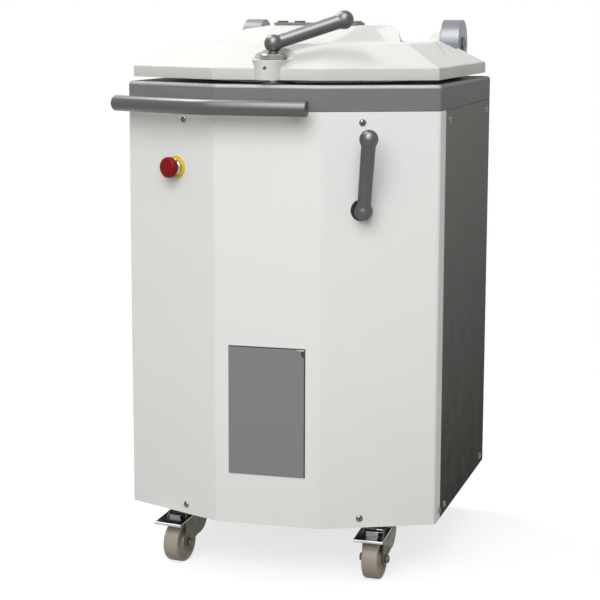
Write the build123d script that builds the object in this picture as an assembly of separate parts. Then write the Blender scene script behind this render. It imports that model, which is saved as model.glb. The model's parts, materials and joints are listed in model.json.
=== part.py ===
from build123d import *
from math import atan2, cos, radians, sin, sqrt, tan
import os

# Hydraulic dough divider. Millimetres, +Z up, front towards -Y.
# The origin is on the floor, under the axis of the dough bowl.

# Cabinet plan and levels
body_width = 620.0
body_depth = 628.0
facet_half = 103.5          # half width of the centre front facet
facet_depth = 95.0          # how far the slanted facets run back
bend_radius = 9.0           # outer radius of every fold
sheet = 2.0                 # thickness of the panels
panel_wrap = 45.0           # how far the front panel runs onto each side
rear_wrap = 40.0            # how far each side panel runs onto the back
seam = 1.0                  # visible gap between two panels
caster_height = 112.0
past = 1.0                  # how far a cut runs on beyond a face
panel_drop = 2.0            # how far the panels hang below the base frame
seam_level = 903.0          # top of the deck, bottom of the top frame
frame_height = 48.0         # height of the top frame
frame_wall = 3.0
frame_edge = 7.0            # rounding of the top frame's upper edge

# Inner structure
channel_size = 40.0         # base frame channel, square
channel_wall = 4.0
rail_width = 84.0           # cross rails above the casters
base_thickness = 6.0
post_size = 40.0
post_wall = 3.0
post_front_back = 85.0      # front posts and side screws, behind the side fold
post_rear_in = 50.0         # rear posts, in front of the back
deck_thickness = 8.0
deck_skirt = 30.0
skirt_wall = 4.0

# Dough bowl, plunger and knives
bowl_radius = 200.0
bowl_wall = 4.0
bowl_stand = 2.0            # bowl rim above the top frame
bowl_depth = 133.0          # from the rim to the plunger at rest
bowl_skirt = 20.0           # bowl wall below the plunger's face
bowl_flange = 28.0
flange_thickness = 6.0
bowl_gap = 1.5              # deck and top frame round the bowl
stroke = 120.0              # travel of the plunger and of the knives
inner_cells = 6
outer_cells = 14
plunger_gap = 2.0           # plunger to bowl wall
block_thickness = 30.0
slot_width = 5.0
blade_thickness = 2.0
blade_dip = 1.0             # blade edge below the plunger's face at rest
pillar_radius = 9.0
stack_gap = 2.0             # least vertical gap between moving stages
knife_ring_height = 14.0
knife_ring_width = 42.0
ring_overlap = 12.0         # blades over the knife ring
carrier_thickness = 17.0
carrier_edge = 8.0          # carrier beyond the outer pillars

# Hydraulics
rod_radius = 25.0
bore_radius = 45.0
barrel_wall = 10.0
barrel_base = 22.0
piston_height = 30.0
piston_lift = 2.0           # piston above the barrel's base at rest
head_height = 30.0
head_lip = 5.0
head_drop = 45.0            # head below the carrier at rest
knife_rod_radius = 12.0
knife_rod_shift = 5.0       # knife rods outside the middle of the knife ring
knife_bore_radius = 20.0
knife_barrel_wall = 10.0
knife_piston = 20.0
knife_barrel_gap = 54.0     # knife barrel below the knife ring
knife_head = 15.0
guide_radius = 10.0
guide_offset = 115.0
running_gap = 0.05
tank_width = 300.0
tank_height = 172.0
tank_rod_gap = 14.0         # oil tank behind the rear guide rod
tank_back_gap = 17.0
motor_radius = 70.0
motor_height = 166.0
motor_x = -62.0
motor_foot = 15.0
motor_cowl = 40.0
motor_round = 14.0
fin_count = 24
fin_depth = 5.0
fin_gap = 6.0
pump_width = 80.0
pump_length = 70.0
pump_height = 70.0
pump_x = 92.0
hose_radius = 8.0
hose_bend = 30.0
hose_rise = 60.0            # straight up from the pump before the first bend
hose_side_y = 100.0         # run past the knife cylinder, either side of the bowl axis
hose_drop = 90.0            # last bends of the hose to the main cylinder
valve_width = 84.0
valve_height = 110.0
valve_depth = 90.0
port_size = 30.0
port_reach = 15.0

# Lid
lid_gap = 8.0               # between the top frame and the lid's rim
rim_height = 22.0
lid_half = 302.6
lid_fold = 107.0
lid_setback = 3.5
lid_corner = 106.0          # side fold, behind the cabinet's front
lid_back = 27.0             # rim in front of the cabinet's back
roof_rise = 44.0
roof_side = 77.0            # run of the side slopes
roof_corner = 67.0
roof_fold = 17.0
roof_back = 62.0
lid_wall = 4.0
hump_rise = 33.0            # above the flat roof
hump_foot_y = 18.0          # front foot of the hump, behind the bowl axis
hump_foot_half = 178.0      # along X, at the front foot
hump_knee_y = 60.0          # where the hump's front slope flattens
hump_knee_half = 164.0
hump_knee_rise = 24.0
hump_top_y = 163.0
hump_top_half = 127.0
hump_back_y = 205.0
hump_back_half = 124.0
hump_back_run = 14.0
hump_back_flare = 10.0
spine_front_y = -130.0      # where the spine rises out of the roof
spine_front_half = 74.0
spine_knee_y = 20.0         # where the spine reaches the hump's level
spine_knee_half = 94.0
spine_flank = 30.0          # degrees
nose_radius = 27.0
nose_back = 14.0            # nose axis, behind the cabinet's front
beam_gap = 7.0              # beam above the rim's lower edge
beam_thickness = 10.0
beam_half = 214.0
beam_front = 60.0           # front of the broad part, ahead of the bowl axis
beam_back = 250.0
tongue_half = 40.0
tongue_lead = 21.0          # tongue ahead of the lock shaft
press_plate_gap = 4.0       # pressure plate to bowl wall
press_plate_round = 2.0
press_plate_clear = 3.0     # plunger's face at full stroke to the pressure plate
top_plate_width = 172.0
top_plate_depth = 70.0
top_plate_thickness = 5.0
top_plate_y = 58.0
top_bolt_near = 42.0        # bolts either side of the middle, inner and outer pairs
top_bolt_far = 78.0
top_bolt_pitch = 38.0
top_bolt_radius = 6.5
top_bolt_head = 3.5
top_bolt_shank = 4.0

# Hinge
hinge_behind = 31.0         # hinge axis behind the cabinet's back
hinge_rise = 66.0           # hinge axis above the top frame
knuckle_radius = 52.0
knuckle_inner = 201.0
knuckle_width = 42.0
knuckle_toe = 40.0          # foot ahead of the knuckle's front
knuckle_pad = 6.0           # thickness of the foot
slot_gap = 4.0              # lid either side of a hinge arm
slot_depth = 36.0           # slot for a hinge arm, ahead of the rim's back
pin_radius = 10.0
pin_head_radius = 16.5
pin_head = 9.0
arm_width = 22.0
arm_gap = 0.5               # arm to knuckle
arm_eye = 26.0
arm_root = 52.0             # arm on the beam, ahead of the beam's rear edge
arm_toe = 13.0
arm_shoulder = 18.0

# Lid lock and ball levers
lock_back = 43.0            # lock axis, behind the cabinet's front
scoop_radius = 39.0
scoop_rise = 36.7           # floor of the scoop above the rim's lower edge
disc_radius = 27.0
disc_height = 10.0
disc_round = 1.0
face_gap = 0.3
shaft_radius = 8.0
shaft_lead = 2.0            # chamfer at the lock shaft's lower end
lock_reach = 19.0           # shaft below the top frame
keeper_gap = 4.5
keeper_wall = 3.5
keeper_flange = 24.0
keeper_height = 3.0
hub_radius = 17.0
hub_height = 19.0           # hub centre above its seat
neck_radius = 9.5
lever_length = 143.0        # between the two ball centres
lever_rise = 18.0           # degrees
grip_radius = 17.5
rod_at_hub = 12.5
rod_at_grip = 13.5
lever_blend = 10.0
lock_lever_turn = 28.0      # degrees from +X, towards the back

# Front fittings
control_x = 174.0
control_level = 720.0
control_hole = 20.5
bush_gap = 0.2
bush_depth = 10.0
control_seat = 3.0          # lever's seat off the panel
spindle_depth = 60.0
stop_x = -191.0
stop_level = 791.0
stop_hole = 11.0
stop_ring_radius = 21.5
stop_ring_height = 2.0
stop_collar_radius = 15.0
stop_collar_height = 8.0
stop_stem_radius = 8.0
stop_stem_depth = 22.0
stop_travel = 4.0
stop_head_radius = 20.0
stop_head_gap = 5.0         # collar to the mushroom's back
stop_head_height = 15.0
stop_head_round = 5.0
stop_socket = 6.0
stop_block_size = 40.0
stop_block_depth = 45.0
notice_width = 152.0
notice_height = 250.0
notice_level = 208.0
notice_thickness = 1.2
bar_radius = 15.0
bar_offset = 46.0           # bar axis off the facets
bar_level = 910.0
bar_right = 90.0
bar_left = -318.0
bar_bend = 120.0
bar_edge = 2.5
standoff_radius = 6.5
standoff_inset = 32.0       # standoffs in from the bar's ends
screw_head = 6.8
screw_height = 3.0
screw_shank = 2.4
screw_gap = 0.1
front_screw_x = 175.0
wrap_screw_inset = 9.0      # low screws on the sides, in from the front panel's edge
screw_top_drop = 21.0       # upper screws below the seam
screw_bottom_rise = 18.0    # lower screws above the panel's edge
rear_screw_inset = 50.0     # rear screws in from the side panels' edges
vent_width = 70.0
vent_height = 6.0
vent_pitch = 18.0
vent_rows = 7
vent_level = 300.0
gland_inset = 70.0          # cable gland in from the left side panel's edge
gland_level = 210.0
gland_bore = 6.5
gland_thread = 10.0
gland_flange = 15.0
gland_nut = 13.0
gland_inside = 14.0
gland_collar = 8.0
gland_dome = 14.0
gland_round = 4.0
box_width = 140.0
box_depth = 50.0
box_height = 180.0
box_post_gap = 9.0          # electrical box to the rear left post
box_level = 560.0
box_wall = 3.0              # oil tank and electrical box

# Casters
wheel_radius = 40.0
wheel_width = 32.0
wheel_dish = 5.0
wheel_hub = 13.0
wheel_rim = 6.0
wheel_draft = 2.0
wheel_edge = 3.0
caster_side_inset = 112.0   # swivel axes in from the sides
caster_end_inset = 108.0    # swivel axes in from the front and the back
caster_trail = 35.0
caster_plate_length = 76.0
caster_plate_width = 76.0
caster_plate_thickness = 5.0
race_radius = 27.0
race_height = 6.0
kingpin_radius = 6.0
kingpin_head = 9.0
kingpin_head_height = 4.0
crown_thickness = 5.0
crown_radius = 28.0
fork_gap = 2.0              # wheel to fork leg
leg_thickness = 4.0
leg_tip = 12.0
leg_heel = 42.0             # legs behind the swivel axis
heel_radius = 37.0          # round back of the legs
heel_drop = 27.0            # its middle, below the caster's top
axle_radius = 5.0
axle_nut = 8.0
axle_nut_height = 7.0
axle_nut_round = 2.3
pedal_pin_radius = 3.0
pedal_pin_lead = 38.0       # pedal pin, ahead of the swivel axis
pedal_pin_drop = 20.0       # pedal pin, below the caster's top
pedal_barrel = 5.0
pedal_half = 29.0
pedal_reach = 44.0
pedal_thickness = 2.5
pedal_slope = 9.0           # degrees down to the front
pedal_neck = 11.0
pedal_tail = 20.0           # side arms behind the pedal pin
pedal_tab = 13.0            # raised tab, ahead of the pedal pin
pedal_tab_half = 12.0
pedal_tab_height = 6.0
pedal_lip = 3.0
front_left_swivel = 10.0    # degrees, trail turned from the front towards -X
front_right_swivel = 3.0
rear_left_swivel = 18.0
rear_right_swivel = 10.0

# Derived levels and lines
front_y = -body_depth / 2
back_y = body_depth / 2
half_width = body_width / 2
side_fold_y = front_y + facet_depth
facet_angle = atan2(facet_depth, half_width - facet_half)
panel_bottom = caster_height - panel_drop
panel_top = seam_level - seam
wrap_y = side_fold_y + panel_wrap
rear_split = half_width - rear_wrap
base_top = caster_height + channel_size
floor_level = base_top + base_thickness
deck_bottom = seam_level - deck_thickness
frame_top = seam_level + frame_height
post_x = half_width - sheet - skirt_wall - post_size / 2
post_front_y = side_fold_y + post_front_back
post_rear_y = back_y - post_rear_in
bowl_top = frame_top + bowl_stand
plunger_level = bowl_top - bowl_depth
plunger_radius = bowl_radius - plunger_gap
split_radius = plunger_radius * sqrt(inner_cells / (inner_cells + outer_cells))
block_bottom = plunger_level - block_thickness
bowl_bottom = plunger_level - bowl_skirt
blade_top = plunger_level - blade_dip
ring_top = block_bottom - stroke - stack_gap
ring_bottom = ring_top - knife_ring_height
ring_inner = plunger_radius - ring_overlap
ring_outer = ring_inner + knife_ring_width
carrier_top = ring_bottom - stroke - stack_gap
carrier_bottom = carrier_top - carrier_thickness
outer_pillar_circle = (split_radius + plunger_radius) / 2
inner_pillar_circle = split_radius * 2 / 3
carrier_radius = outer_pillar_circle + pillar_radius + carrier_edge
knife_rod_x = (ring_inner + ring_outer) / 2 + knife_rod_shift
head_top = carrier_bottom - head_drop
head_bottom = head_top - head_height
knife_barrel_top = ring_bottom - knife_barrel_gap
knife_piston_bottom = knife_barrel_top - knife_head - stroke - knife_piston - stack_gap
port_face = bore_radius + barrel_wall + port_reach
port_level = floor_level + barrel_base + piston_height / 2
tank_front = guide_offset + guide_radius + tank_rod_gap
tank_back = back_y - tank_back_gap
tank_y = (tank_front + tank_back) / 2
tank_top = floor_level + tank_height
pump_top = tank_top + pump_height
gland_x = gland_inset - rear_split
rear_screw_half = rear_split - rear_screw_inset
box_x = box_width / 2 + box_post_gap + post_size / 2 - post_x
caster_x = half_width - caster_side_inset
caster_y = back_y - caster_end_inset
keeper_radius = shaft_radius + keeper_gap
stop_head_back = stop_ring_height + stop_collar_height + stop_head_gap
rim_bottom = frame_top + lid_gap
rim_top = rim_bottom + rim_height
roof_top = rim_top + roof_rise
hump_top = roof_top + hump_rise
lid_front_y = front_y + lid_setback
lid_corner_y = front_y + lid_corner
lid_back_y = back_y - lid_back
beam_bottom = rim_bottom + beam_gap
beam_top = beam_bottom + beam_thickness
press_plate_bottom = plunger_level + stroke + press_plate_clear
hinge_y = back_y + hinge_behind
hinge_level = frame_top + hinge_rise
lock_y = front_y + lock_back
nose_y = front_y + nose_back
scoop_floor = rim_bottom + scoop_rise
disc_bottom = scoop_floor + face_gap
disc_top = disc_bottom + disc_height
axle_level = wheel_radius
leg_inner = wheel_width / 2 + fork_gap
leg_outer = leg_inner + leg_thickness
race_bottom = caster_height - caster_plate_thickness - race_height
crown_top = race_bottom - face_gap
crown_bottom = crown_top - crown_thickness
heel_x = heel_radius - leg_heel
heel_level = caster_height - heel_drop


# Small helpers
def face_of(points, radius=0.0):
    """Flat face inside a closed outline, its corners rounded to one radius."""
    if radius > 0:
        return make_face(FilletPolyline(*points, radius=radius, close=True))
    return make_face(Polyline(*points, close=True))


def prism(face, low, high):
    """Upright solid over a face drawn on the XY plane."""
    return Pos(0, 0, low) * extrude(face, amount=high - low)


def block(x, y, z):
    """Box between two coordinates along each axis."""
    size = [high - low for low, high in (x, y, z)]
    centre = [(low + high) / 2 for low, high in (x, y, z)]
    return Pos(*centre) * Box(*size)


def upright(radius, low, high, x=0.0, y=0.0):
    """Upright cylinder between two levels."""
    return Pos(x, y, (low + high) / 2) * Cylinder(radius, high - low)


def group(*pieces):
    """Several separate solids kept together in one node."""
    solids = [solid for piece in pieces for solid in piece.solids()]
    return Compound(children=solids)


def plan(inset):
    """Plan of the cabinet moved in by an inset, with its folds rounded."""
    fold = facet_half - inset * tan(facet_angle / 2)
    side = half_width - inset
    corner = side_fold_y + inset * tan(radians(45) - facet_angle / 2)
    points = [(-fold, front_y + inset), (fold, front_y + inset), (side, corner)]
    points += [(side, back_y - inset), (-side, back_y - inset), (-side, corner)]
    return face_of(points, max(bend_radius - inset, 0.0))


def ring(outer_inset, inner_inset, low, high):
    """Upright wall between two insets of the cabinet's plan."""
    return prism(plan(outer_inset) - plan(inner_inset), low, high)


def facet(side, x, z, off=0.0):
    """Plane on a slanted facet, local Y up and local Z out of the panel."""
    y = front_y + (abs(x) - facet_half) * tan(facet_angle)
    out = Vector(side * sin(facet_angle), -cos(facet_angle), 0)
    along = Vector(cos(facet_angle), side * sin(facet_angle), 0)
    return Plane(Vector(x, y, z) + out * off, x_dir=along, z_dir=out)


def flank(side, y, z):
    """Plane on a side of the cabinet, local Z out of the panel."""
    return Plane((side * half_width, y, z), x_dir=(0, side, 0), z_dir=(side, 0, 0))


def boring(plane, radius, near, far):
    """Cylinder along a plane's normal, between two distances off it."""
    return plane * (Pos(0, 0, (near + far) / 2) * Cylinder(radius, far - near))


def domed_head(radius, height):
    """Round cap on the XY plane, its crown along +Z."""
    curve = (radius**2 + height**2) / (2 * height)
    half = atan2(radius, curve - height) / 2
    shoulder = (curve * sin(half), height - curve + curve * cos(half))
    crown = ThreePointArc((radius, 0), shoulder, (0, height))
    section = make_face([crown, Line((0, height), (0, 0)), Line((0, 0), (radius, 0))])
    return Rot(90, 0, 0) * revolve(section, Axis.Y)


control_face = facet(1, control_x, control_level)
stop_face = facet(-1, stop_x, stop_level)


# Screws that hold the panels
def screw_planes():
    """Seats of the panel screws, grouped by the panel that they hold."""
    high = seam_level - screw_top_drop
    low = panel_bottom + screw_bottom_rise
    seats = {"front": [], "left": [], "right": [], "rear": []}
    for side, name in ((-1, "left"), (1, "right")):
        seats["front"].append(flank(side, wrap_y - wrap_screw_inset, low))
        for z in (low, high):
            seats["front"].append(facet(side, side * front_screw_x, z))
            for y in (post_front_y, post_rear_y):
                seats[name].append(flank(side, y, z))
            place = (side * rear_screw_half, back_y, z)
            seats["rear"].append(Plane(place, x_dir=(-1, 0, 0), z_dir=(0, 1, 0)))
    return seats


def screw():
    """Domed panel screw, seated at the origin with its head along +Z."""
    return domed_head(screw_head, screw_height) + upright(screw_shank, -sheet, 0)


seats = screw_planes()


def drilled(panel, name):
    """A panel with the holes for its own screws."""
    for seat in seats[name]:
        panel -= boring(seat, screw_shank + screw_gap, -2 * sheet, sheet)
    return panel


def panel_screws():
    return group(*[seat * screw() for places in seats.values() for seat in places])


# Cabinet shell
def cabinet_wall():
    return ring(0, sheet, panel_bottom, panel_top)


def front_panel():
    reach = block((-body_width, body_width), (-body_depth, wrap_y), (0, seam_level))
    panel = cabinet_wall() & reach
    panel -= boring(control_face, control_hole, -2 * sheet, sheet)
    panel -= boring(stop_face, stop_hole, -2 * sheet, sheet)
    return drilled(panel, "front")


def side_panel(side, name):
    inner, outer = sorted((side * rear_split, side * body_width))
    reach = block((inner, outer), (wrap_y + seam, body_depth), (0, seam_level))
    return drilled(cabinet_wall() & reach, name)


def rear_panel():
    half = rear_split - seam
    panel = cabinet_wall() & block((-half, half), (0, body_depth), (0, seam_level))
    outline = SlotOverall(vent_width, vent_height)
    slot = Rot(90, 0, 0) * extrude(outline, amount=4 * sheet, both=True)
    for side in (-1, 1):
        for row in range(vent_rows):
            panel -= Pos(side * vent_width, back_y, vent_level + row * vent_pitch) * slot
    hole = Rot(90, 0, 0) * Cylinder(gland_thread + screw_gap, 6 * sheet)
    panel -= Pos(gland_x, back_y, gland_level) * hole
    return drilled(panel, "rear")


def top_frame():
    shell = prism(plan(0), seam_level, frame_top)
    shell = fillet(shell.faces().sort_by(Axis.Z)[-1].edges(), frame_edge)
    shell -= prism(plan(frame_wall), seam_level - past, frame_top - frame_wall)
    shell -= upright(bowl_radius + bowl_wall + bowl_gap, seam_level, frame_top + past)
    return shell - upright(keeper_radius + keeper_wall + screw_gap, seam_level, frame_top + past, 0, lock_y)


# Inner structure
def base_frame():
    channel = ring(sheet, sheet + channel_size, caster_height, base_top)
    height = (caster_height + channel_wall, base_top - channel_wall)
    frame = channel - ring(sheet + channel_wall, sheet + 2 * channel_size, *height)
    inside = prism(plan(sheet + channel_wall), caster_height, base_top)
    for side in (-1, 1):
        front = side * caster_y - rail_width / 2
        back = side * caster_y + rail_width / 2
        rail = block((-body_width, body_width), (front, back), (caster_height, base_top))
        frame += rail & inside
        frame -= block(
            (-half_width + channel_size + sheet, half_width - channel_size - sheet),
            (front + channel_wall, back - channel_wall),
            (caster_height + channel_wall, base_top + past),
        )
    return frame


def base_plate():
    return prism(plan(sheet), base_top, floor_level)


def corner_posts():
    posts = []
    for side in (-1, 1):
        for y in (post_front_y, post_rear_y):
            height = deck_bottom - floor_level
            inner = post_size - 2 * post_wall
            post = Box(post_size, post_size, height) - Box(inner, inner, height)
            posts.append(Pos(side * post_x, y, floor_level + height / 2) * post)
    return group(*posts)


def deck_plate():
    deck = prism(plan(sheet), deck_bottom, seam_level)
    deck += ring(sheet, sheet + skirt_wall, seam_level - deck_skirt, deck_bottom)
    return deck - upright(bowl_radius + bowl_wall + bowl_gap, deck_bottom, seam_level)


# Dough bowl, plunger and knife grid
def bowl():
    outer = bowl_radius + bowl_wall
    shell = upright(outer, bowl_bottom, bowl_top)
    shell += upright(outer + bowl_flange, seam_level, seam_level + flange_thickness)
    return shell - upright(bowl_radius, bowl_bottom, bowl_top)


def cell_lines(count, width, inner, outer, low, high):
    """Radial walls between two radii, one between each pair of cells."""
    walls = []
    for step in range(count):
        wall = block((inner, outer), (-width / 2, width / 2), (low, high))
        walls.append(Rot(0, 0, 360 * step / count) * wall)
    return walls


def pillars(count, circle):
    """Pillars under the middle of each cell of one circle of cells."""
    posts = []
    for step in range(count):
        angle = radians(360 * (step + 0.5) / count)
        x, y = circle * cos(angle), circle * sin(angle)
        posts.append(upright(pillar_radius, carrier_top, block_bottom + past, x, y))
    return posts


def plunger_segments():
    core = upright(split_radius - slot_width / 2, block_bottom, plunger_level)
    core -= cell_lines(inner_cells, slot_width, -slot_width, plunger_radius, block_bottom, plunger_level)
    rim = upright(plunger_radius, block_bottom, plunger_level)
    rim -= upright(split_radius + slot_width / 2, block_bottom, plunger_level)
    rim -= cell_lines(outer_cells, slot_width, 0, 2 * plunger_radius, block_bottom, plunger_level)
    inner = core + pillars(inner_cells, inner_pillar_circle)
    outer = rim + pillars(outer_cells, outer_pillar_circle)
    return group(inner, outer)


def plunger_carrier():
    plate = upright(carrier_radius, carrier_bottom, carrier_top)
    for side in (-1, 1):
        plate -= upright(guide_radius + running_gap, carrier_bottom, carrier_top, 0, side * guide_offset)
    return plate


def knife_grid():
    foot = ring_top - knife_ring_height / 2
    grid = upright(split_radius + blade_thickness / 2, foot, blade_top)
    grid -= upright(split_radius - blade_thickness / 2, foot, blade_top)
    grid += cell_lines(inner_cells, blade_thickness, 0, split_radius, foot, blade_top)
    grid += cell_lines(outer_cells, blade_thickness, split_radius, plunger_radius, foot, blade_top)
    return grid + (upright(ring_outer, ring_bottom, ring_top) - upright(ring_inner, ring_bottom, ring_top))


# Hydraulic cylinders
def main_cylinder():
    barrel = upright(bore_radius + barrel_wall, floor_level, head_bottom)
    half = port_size / 2
    port = block((0, port_face), (-half, half), (port_level - half, port_level + half))
    return barrel + port - upright(bore_radius, floor_level + barrel_base, head_bottom)


def cylinder_head():
    head = upright(bore_radius + barrel_wall + head_lip, head_bottom, head_top)
    return head - upright(rod_radius + running_gap, head_bottom, head_top)


def plunger_rod():
    seat = floor_level + barrel_base + piston_lift
    piston = upright(bore_radius - running_gap, seat, seat + piston_height)
    return piston + upright(rod_radius, seat, carrier_bottom)


def knife_cylinders():
    barrels = []
    for side in (-1, 1):
        x = side * knife_rod_x
        bore_bottom = knife_piston_bottom - stack_gap
        barrel = upright(knife_bore_radius + knife_barrel_wall, floor_level, knife_barrel_top, x)
        barrel -= upright(knife_bore_radius, bore_bottom, knife_barrel_top - knife_head, x)
        barrels.append(barrel - upright(knife_rod_radius + running_gap, bore_bottom, knife_barrel_top, x))
    return group(*barrels)


def knife_rods():
    rods = []
    for side in (-1, 1):
        x = side * knife_rod_x
        piston_top = knife_piston_bottom + knife_piston
        piston = upright(knife_bore_radius - running_gap, knife_piston_bottom, piston_top, x)
        rods.append(piston + upright(knife_rod_radius, knife_piston_bottom, ring_bottom, x))
    return group(*rods)


def guide_rods():
    top = carrier_top + stroke + stack_gap
    return group(*[upright(guide_radius, floor_level, top, 0, side * guide_offset) for side in (-1, 1)])


# Power unit and electrics
def oil_tank():
    half = tank_width / 2
    tank = block((-half, half), (tank_front, tank_back), (floor_level, tank_top))
    inside = half - box_wall
    depth = (tank_front + box_wall, tank_back - box_wall)
    return tank - block((-inside, inside), depth, (floor_level, tank_top - box_wall))


def pump_motor():
    body = upright(motor_radius, tank_top, tank_top + motor_height, motor_x, tank_y)
    body = fillet(body.faces().sort_by(Axis.Z)[-1].edges(), motor_round)
    groove = block(
        (motor_radius - fin_depth, motor_radius + fin_depth),
        (-fin_gap / 2, fin_gap / 2),
        (tank_top + motor_foot, tank_top + motor_height - motor_cowl),
    )
    for step in range(fin_count):
        body -= Pos(motor_x, tank_y, 0) * Rot(0, 0, 360 * step / fin_count) * groove
    return body


def gear_pump():
    y = (tank_y - pump_length / 2, tank_y + pump_length / 2)
    return block((pump_x - pump_width / 2, pump_x + pump_width / 2), y, (tank_top, tank_top + pump_height))


def valve_block():
    body = Box(valve_width, valve_height, valve_depth)
    body = control_face * Pos(0, 0, -sheet - valve_depth / 2) * body
    body -= boring(control_face, control_hole, -bush_depth, 0)
    return body - boring(control_face, shaft_radius + running_gap, -spindle_depth - stack_gap, 0)


def hydraulic_hoses():
    lower = control_level - valve_height / 2
    inlet = control_face.from_local_coords((valve_width / 4, 0, -valve_depth / 2))
    outlet = control_face.from_local_coords((-valve_width / 4, 0, -valve_depth / 2))
    side_x = knife_rod_x + knife_bore_radius + knife_barrel_wall + 2 * hose_radius
    run = pump_top + hose_rise
    feed = [(pump_x, tank_y, pump_top), (pump_x, tank_y, run), (side_x, hose_side_y, run)]
    feed += [(side_x, -hose_side_y, run), (inlet.X, inlet.Y, run + hose_rise), (inlet.X, inlet.Y, lower)]
    supply = [(outlet.X, outlet.Y, lower), (outlet.X, outlet.Y, port_level + hose_drop)]
    supply += [(port_face + hose_drop, 0, port_level), (port_face, 0, port_level)]
    hoses = []
    for points in (feed, supply):
        path = FilletPolyline(*points, radius=hose_bend)
        hoses.append(sweep(Plane(path @ 0, z_dir=path % 0) * Circle(hose_radius), path=path))
    return group(*hoses)


def electrical_box():
    half = box_width / 2
    back = back_y - sheet
    top = box_level + box_height
    body = block((box_x - half, box_x + half), (back - box_depth, back), (box_level, top))
    inside = half - box_wall
    height = (box_level + box_wall, top - box_wall)
    return body - block((box_x - inside, box_x + inside), (back - box_depth + box_wall, back), height)


def cable_gland():
    thread = Cylinder(gland_thread, gland_inside + sheet, align=(Align.CENTER, Align.CENTER, Align.MAX))
    collar = extrude(RegularPolygon(gland_flange, 6), amount=gland_collar)
    nut = Cylinder(gland_nut, gland_dome, align=(Align.CENTER, Align.CENTER, Align.MIN))
    nut = Pos(0, 0, gland_collar) * fillet(nut.faces().sort_by(Axis.Z)[-1].edges(), gland_round)
    body = thread + collar + nut - Cylinder(gland_bore, 4 * (gland_inside + gland_dome))
    return Plane((gland_x, back_y, gland_level), x_dir=(-1, 0, 0), z_dir=(0, 1, 0)) * body


# Front fittings
def notice_plate():
    half = notice_width / 2
    y = (front_y - notice_thickness, front_y)
    return block((-half, half), y, (notice_level, notice_level + notice_height))


def grab_bar():
    line_y = front_y - bar_offset
    fold = -(facet_half + bar_offset * tan(facet_angle / 2))
    left_y = line_y + (fold - bar_left) * tan(facet_angle)
    points = [(bar_right, line_y, bar_level), (fold, line_y, bar_level), (bar_left, left_y, bar_level)]
    path = FilletPolyline(*points, radius=bar_bend)
    bar = sweep(Plane(path @ 0, z_dir=path % 0) * Circle(bar_radius), path=path)
    ends = bar.faces().filter_by(GeomType.PLANE)
    bar = fillet(ends.edges(), bar_edge)
    right = Plane((bar_right - standoff_inset, front_y, bar_level), x_dir=(1, 0, 0), z_dir=(0, -1, 0))
    left = facet(-1, bar_left + standoff_inset, bar_level)
    for seat in (right, left):
        bar += boring(seat, standoff_radius, 0, bar_offset)
    return bar


def control_bush():
    bush = boring(control_face, control_hole - bush_gap, -bush_depth, -bush_gap)
    return bush - boring(control_face, shaft_radius + running_gap, -bush_depth, 0)


def control_spindle():
    return boring(control_face, shaft_radius, -spindle_depth, control_seat)


def stop_ring():
    disc = boring(stop_face, stop_ring_radius, 0, stop_ring_height)
    return disc - boring(stop_face, stop_hole, 0, stop_ring_height)


def stop_collar():
    top = stop_ring_height + stop_collar_height
    collar = boring(stop_face, stop_collar_radius, stop_ring_height, top)
    collar += boring(stop_face, stop_hole - screw_gap, -sheet, stop_ring_height)
    return collar - boring(stop_face, stop_stem_radius + running_gap, -sheet, top)


def stop_contact_block():
    cube = Box(stop_block_size, stop_block_size, stop_block_depth)
    body = stop_face * (Pos(0, 0, -sheet - stop_block_depth / 2) * cube)
    return body - boring(stop_face, stop_stem_radius + running_gap, -stop_stem_depth - 2 * stop_travel, 0)


def stop_stem():
    return boring(stop_face, stop_stem_radius, -stop_stem_depth, stop_head_back + stop_socket)


def stop_button():
    top = stop_head_back + stop_head_height
    head = boring(stop_face, stop_head_radius, stop_head_back, top)
    head = fillet(head.edges().filter_by(GeomType.CIRCLE), stop_head_round)
    socket = boring(stop_face, stop_stem_radius + running_gap, stop_head_back, stop_head_back + stop_socket)
    return head - socket


def ball_lever():
    """Ball lever with its hub on the Z axis over a seat at the origin, grip towards +X."""
    outline = Circle(hub_radius) + Pos(lever_length, 0) * Circle(grip_radius)
    rod = [(0, -rod_at_hub), (lever_length, -rod_at_grip), (lever_length, rod_at_grip), (0, rod_at_hub)]
    outline += face_of(rod)
    inside = [v for v in outline.vertices() if 0 < v.X < lever_length and abs(v.Y) > rod_at_hub / 2]
    outline = fillet(inside, lever_blend)
    half = outline & Pos(lever_length / 2, lever_length) * Rectangle(2 * lever_length, 2 * lever_length)
    arm = Rot(0, -lever_rise, 0) * revolve(half, Axis.X)
    return Pos(0, 0, hub_height) * (arm + upright(neck_radius, -hub_height, 0))


def control_lever():
    return control_face * Pos(0, 0, control_seat) * Rot(0, 0, 90) * ball_lever()


# Lid
def roof_outline():
    """Plan of the lid's flat roof."""
    side = lid_half - roof_side
    corner = lid_corner_y + roof_corner
    slope = (lid_corner_y - lid_front_y) / (lid_half - lid_fold)
    fold = lid_fold - roof_fold
    fold_y = corner - (side - fold) * slope
    back = lid_back_y - roof_back
    return [(-fold, fold_y), (fold, fold_y), (side, corner), (side, back), (-side, back), (-side, corner)]


def rim_outline():
    """Plan of the lid's rim."""
    points = [(-lid_fold, lid_front_y), (lid_fold, lid_front_y), (lid_half, lid_corner_y)]
    return points + [(lid_half, lid_back_y), (-lid_half, lid_back_y), (-lid_half, lid_corner_y)]


def hipped(inset, low, high):
    """The lid's rim and hipped roof, moved in by an inset."""
    rim = face_of(rim_outline())
    if inset:
        rim = offset(rim, -inset, kind=Kind.INTERSECTION)
    roof = face_of(roof_outline())
    slopes = loft([Pos(0, 0, rim_top - inset) * rim, Pos(0, 0, high) * roof], ruled=True)
    return prism(rim, low, rim_top - inset) + slopes


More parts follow.
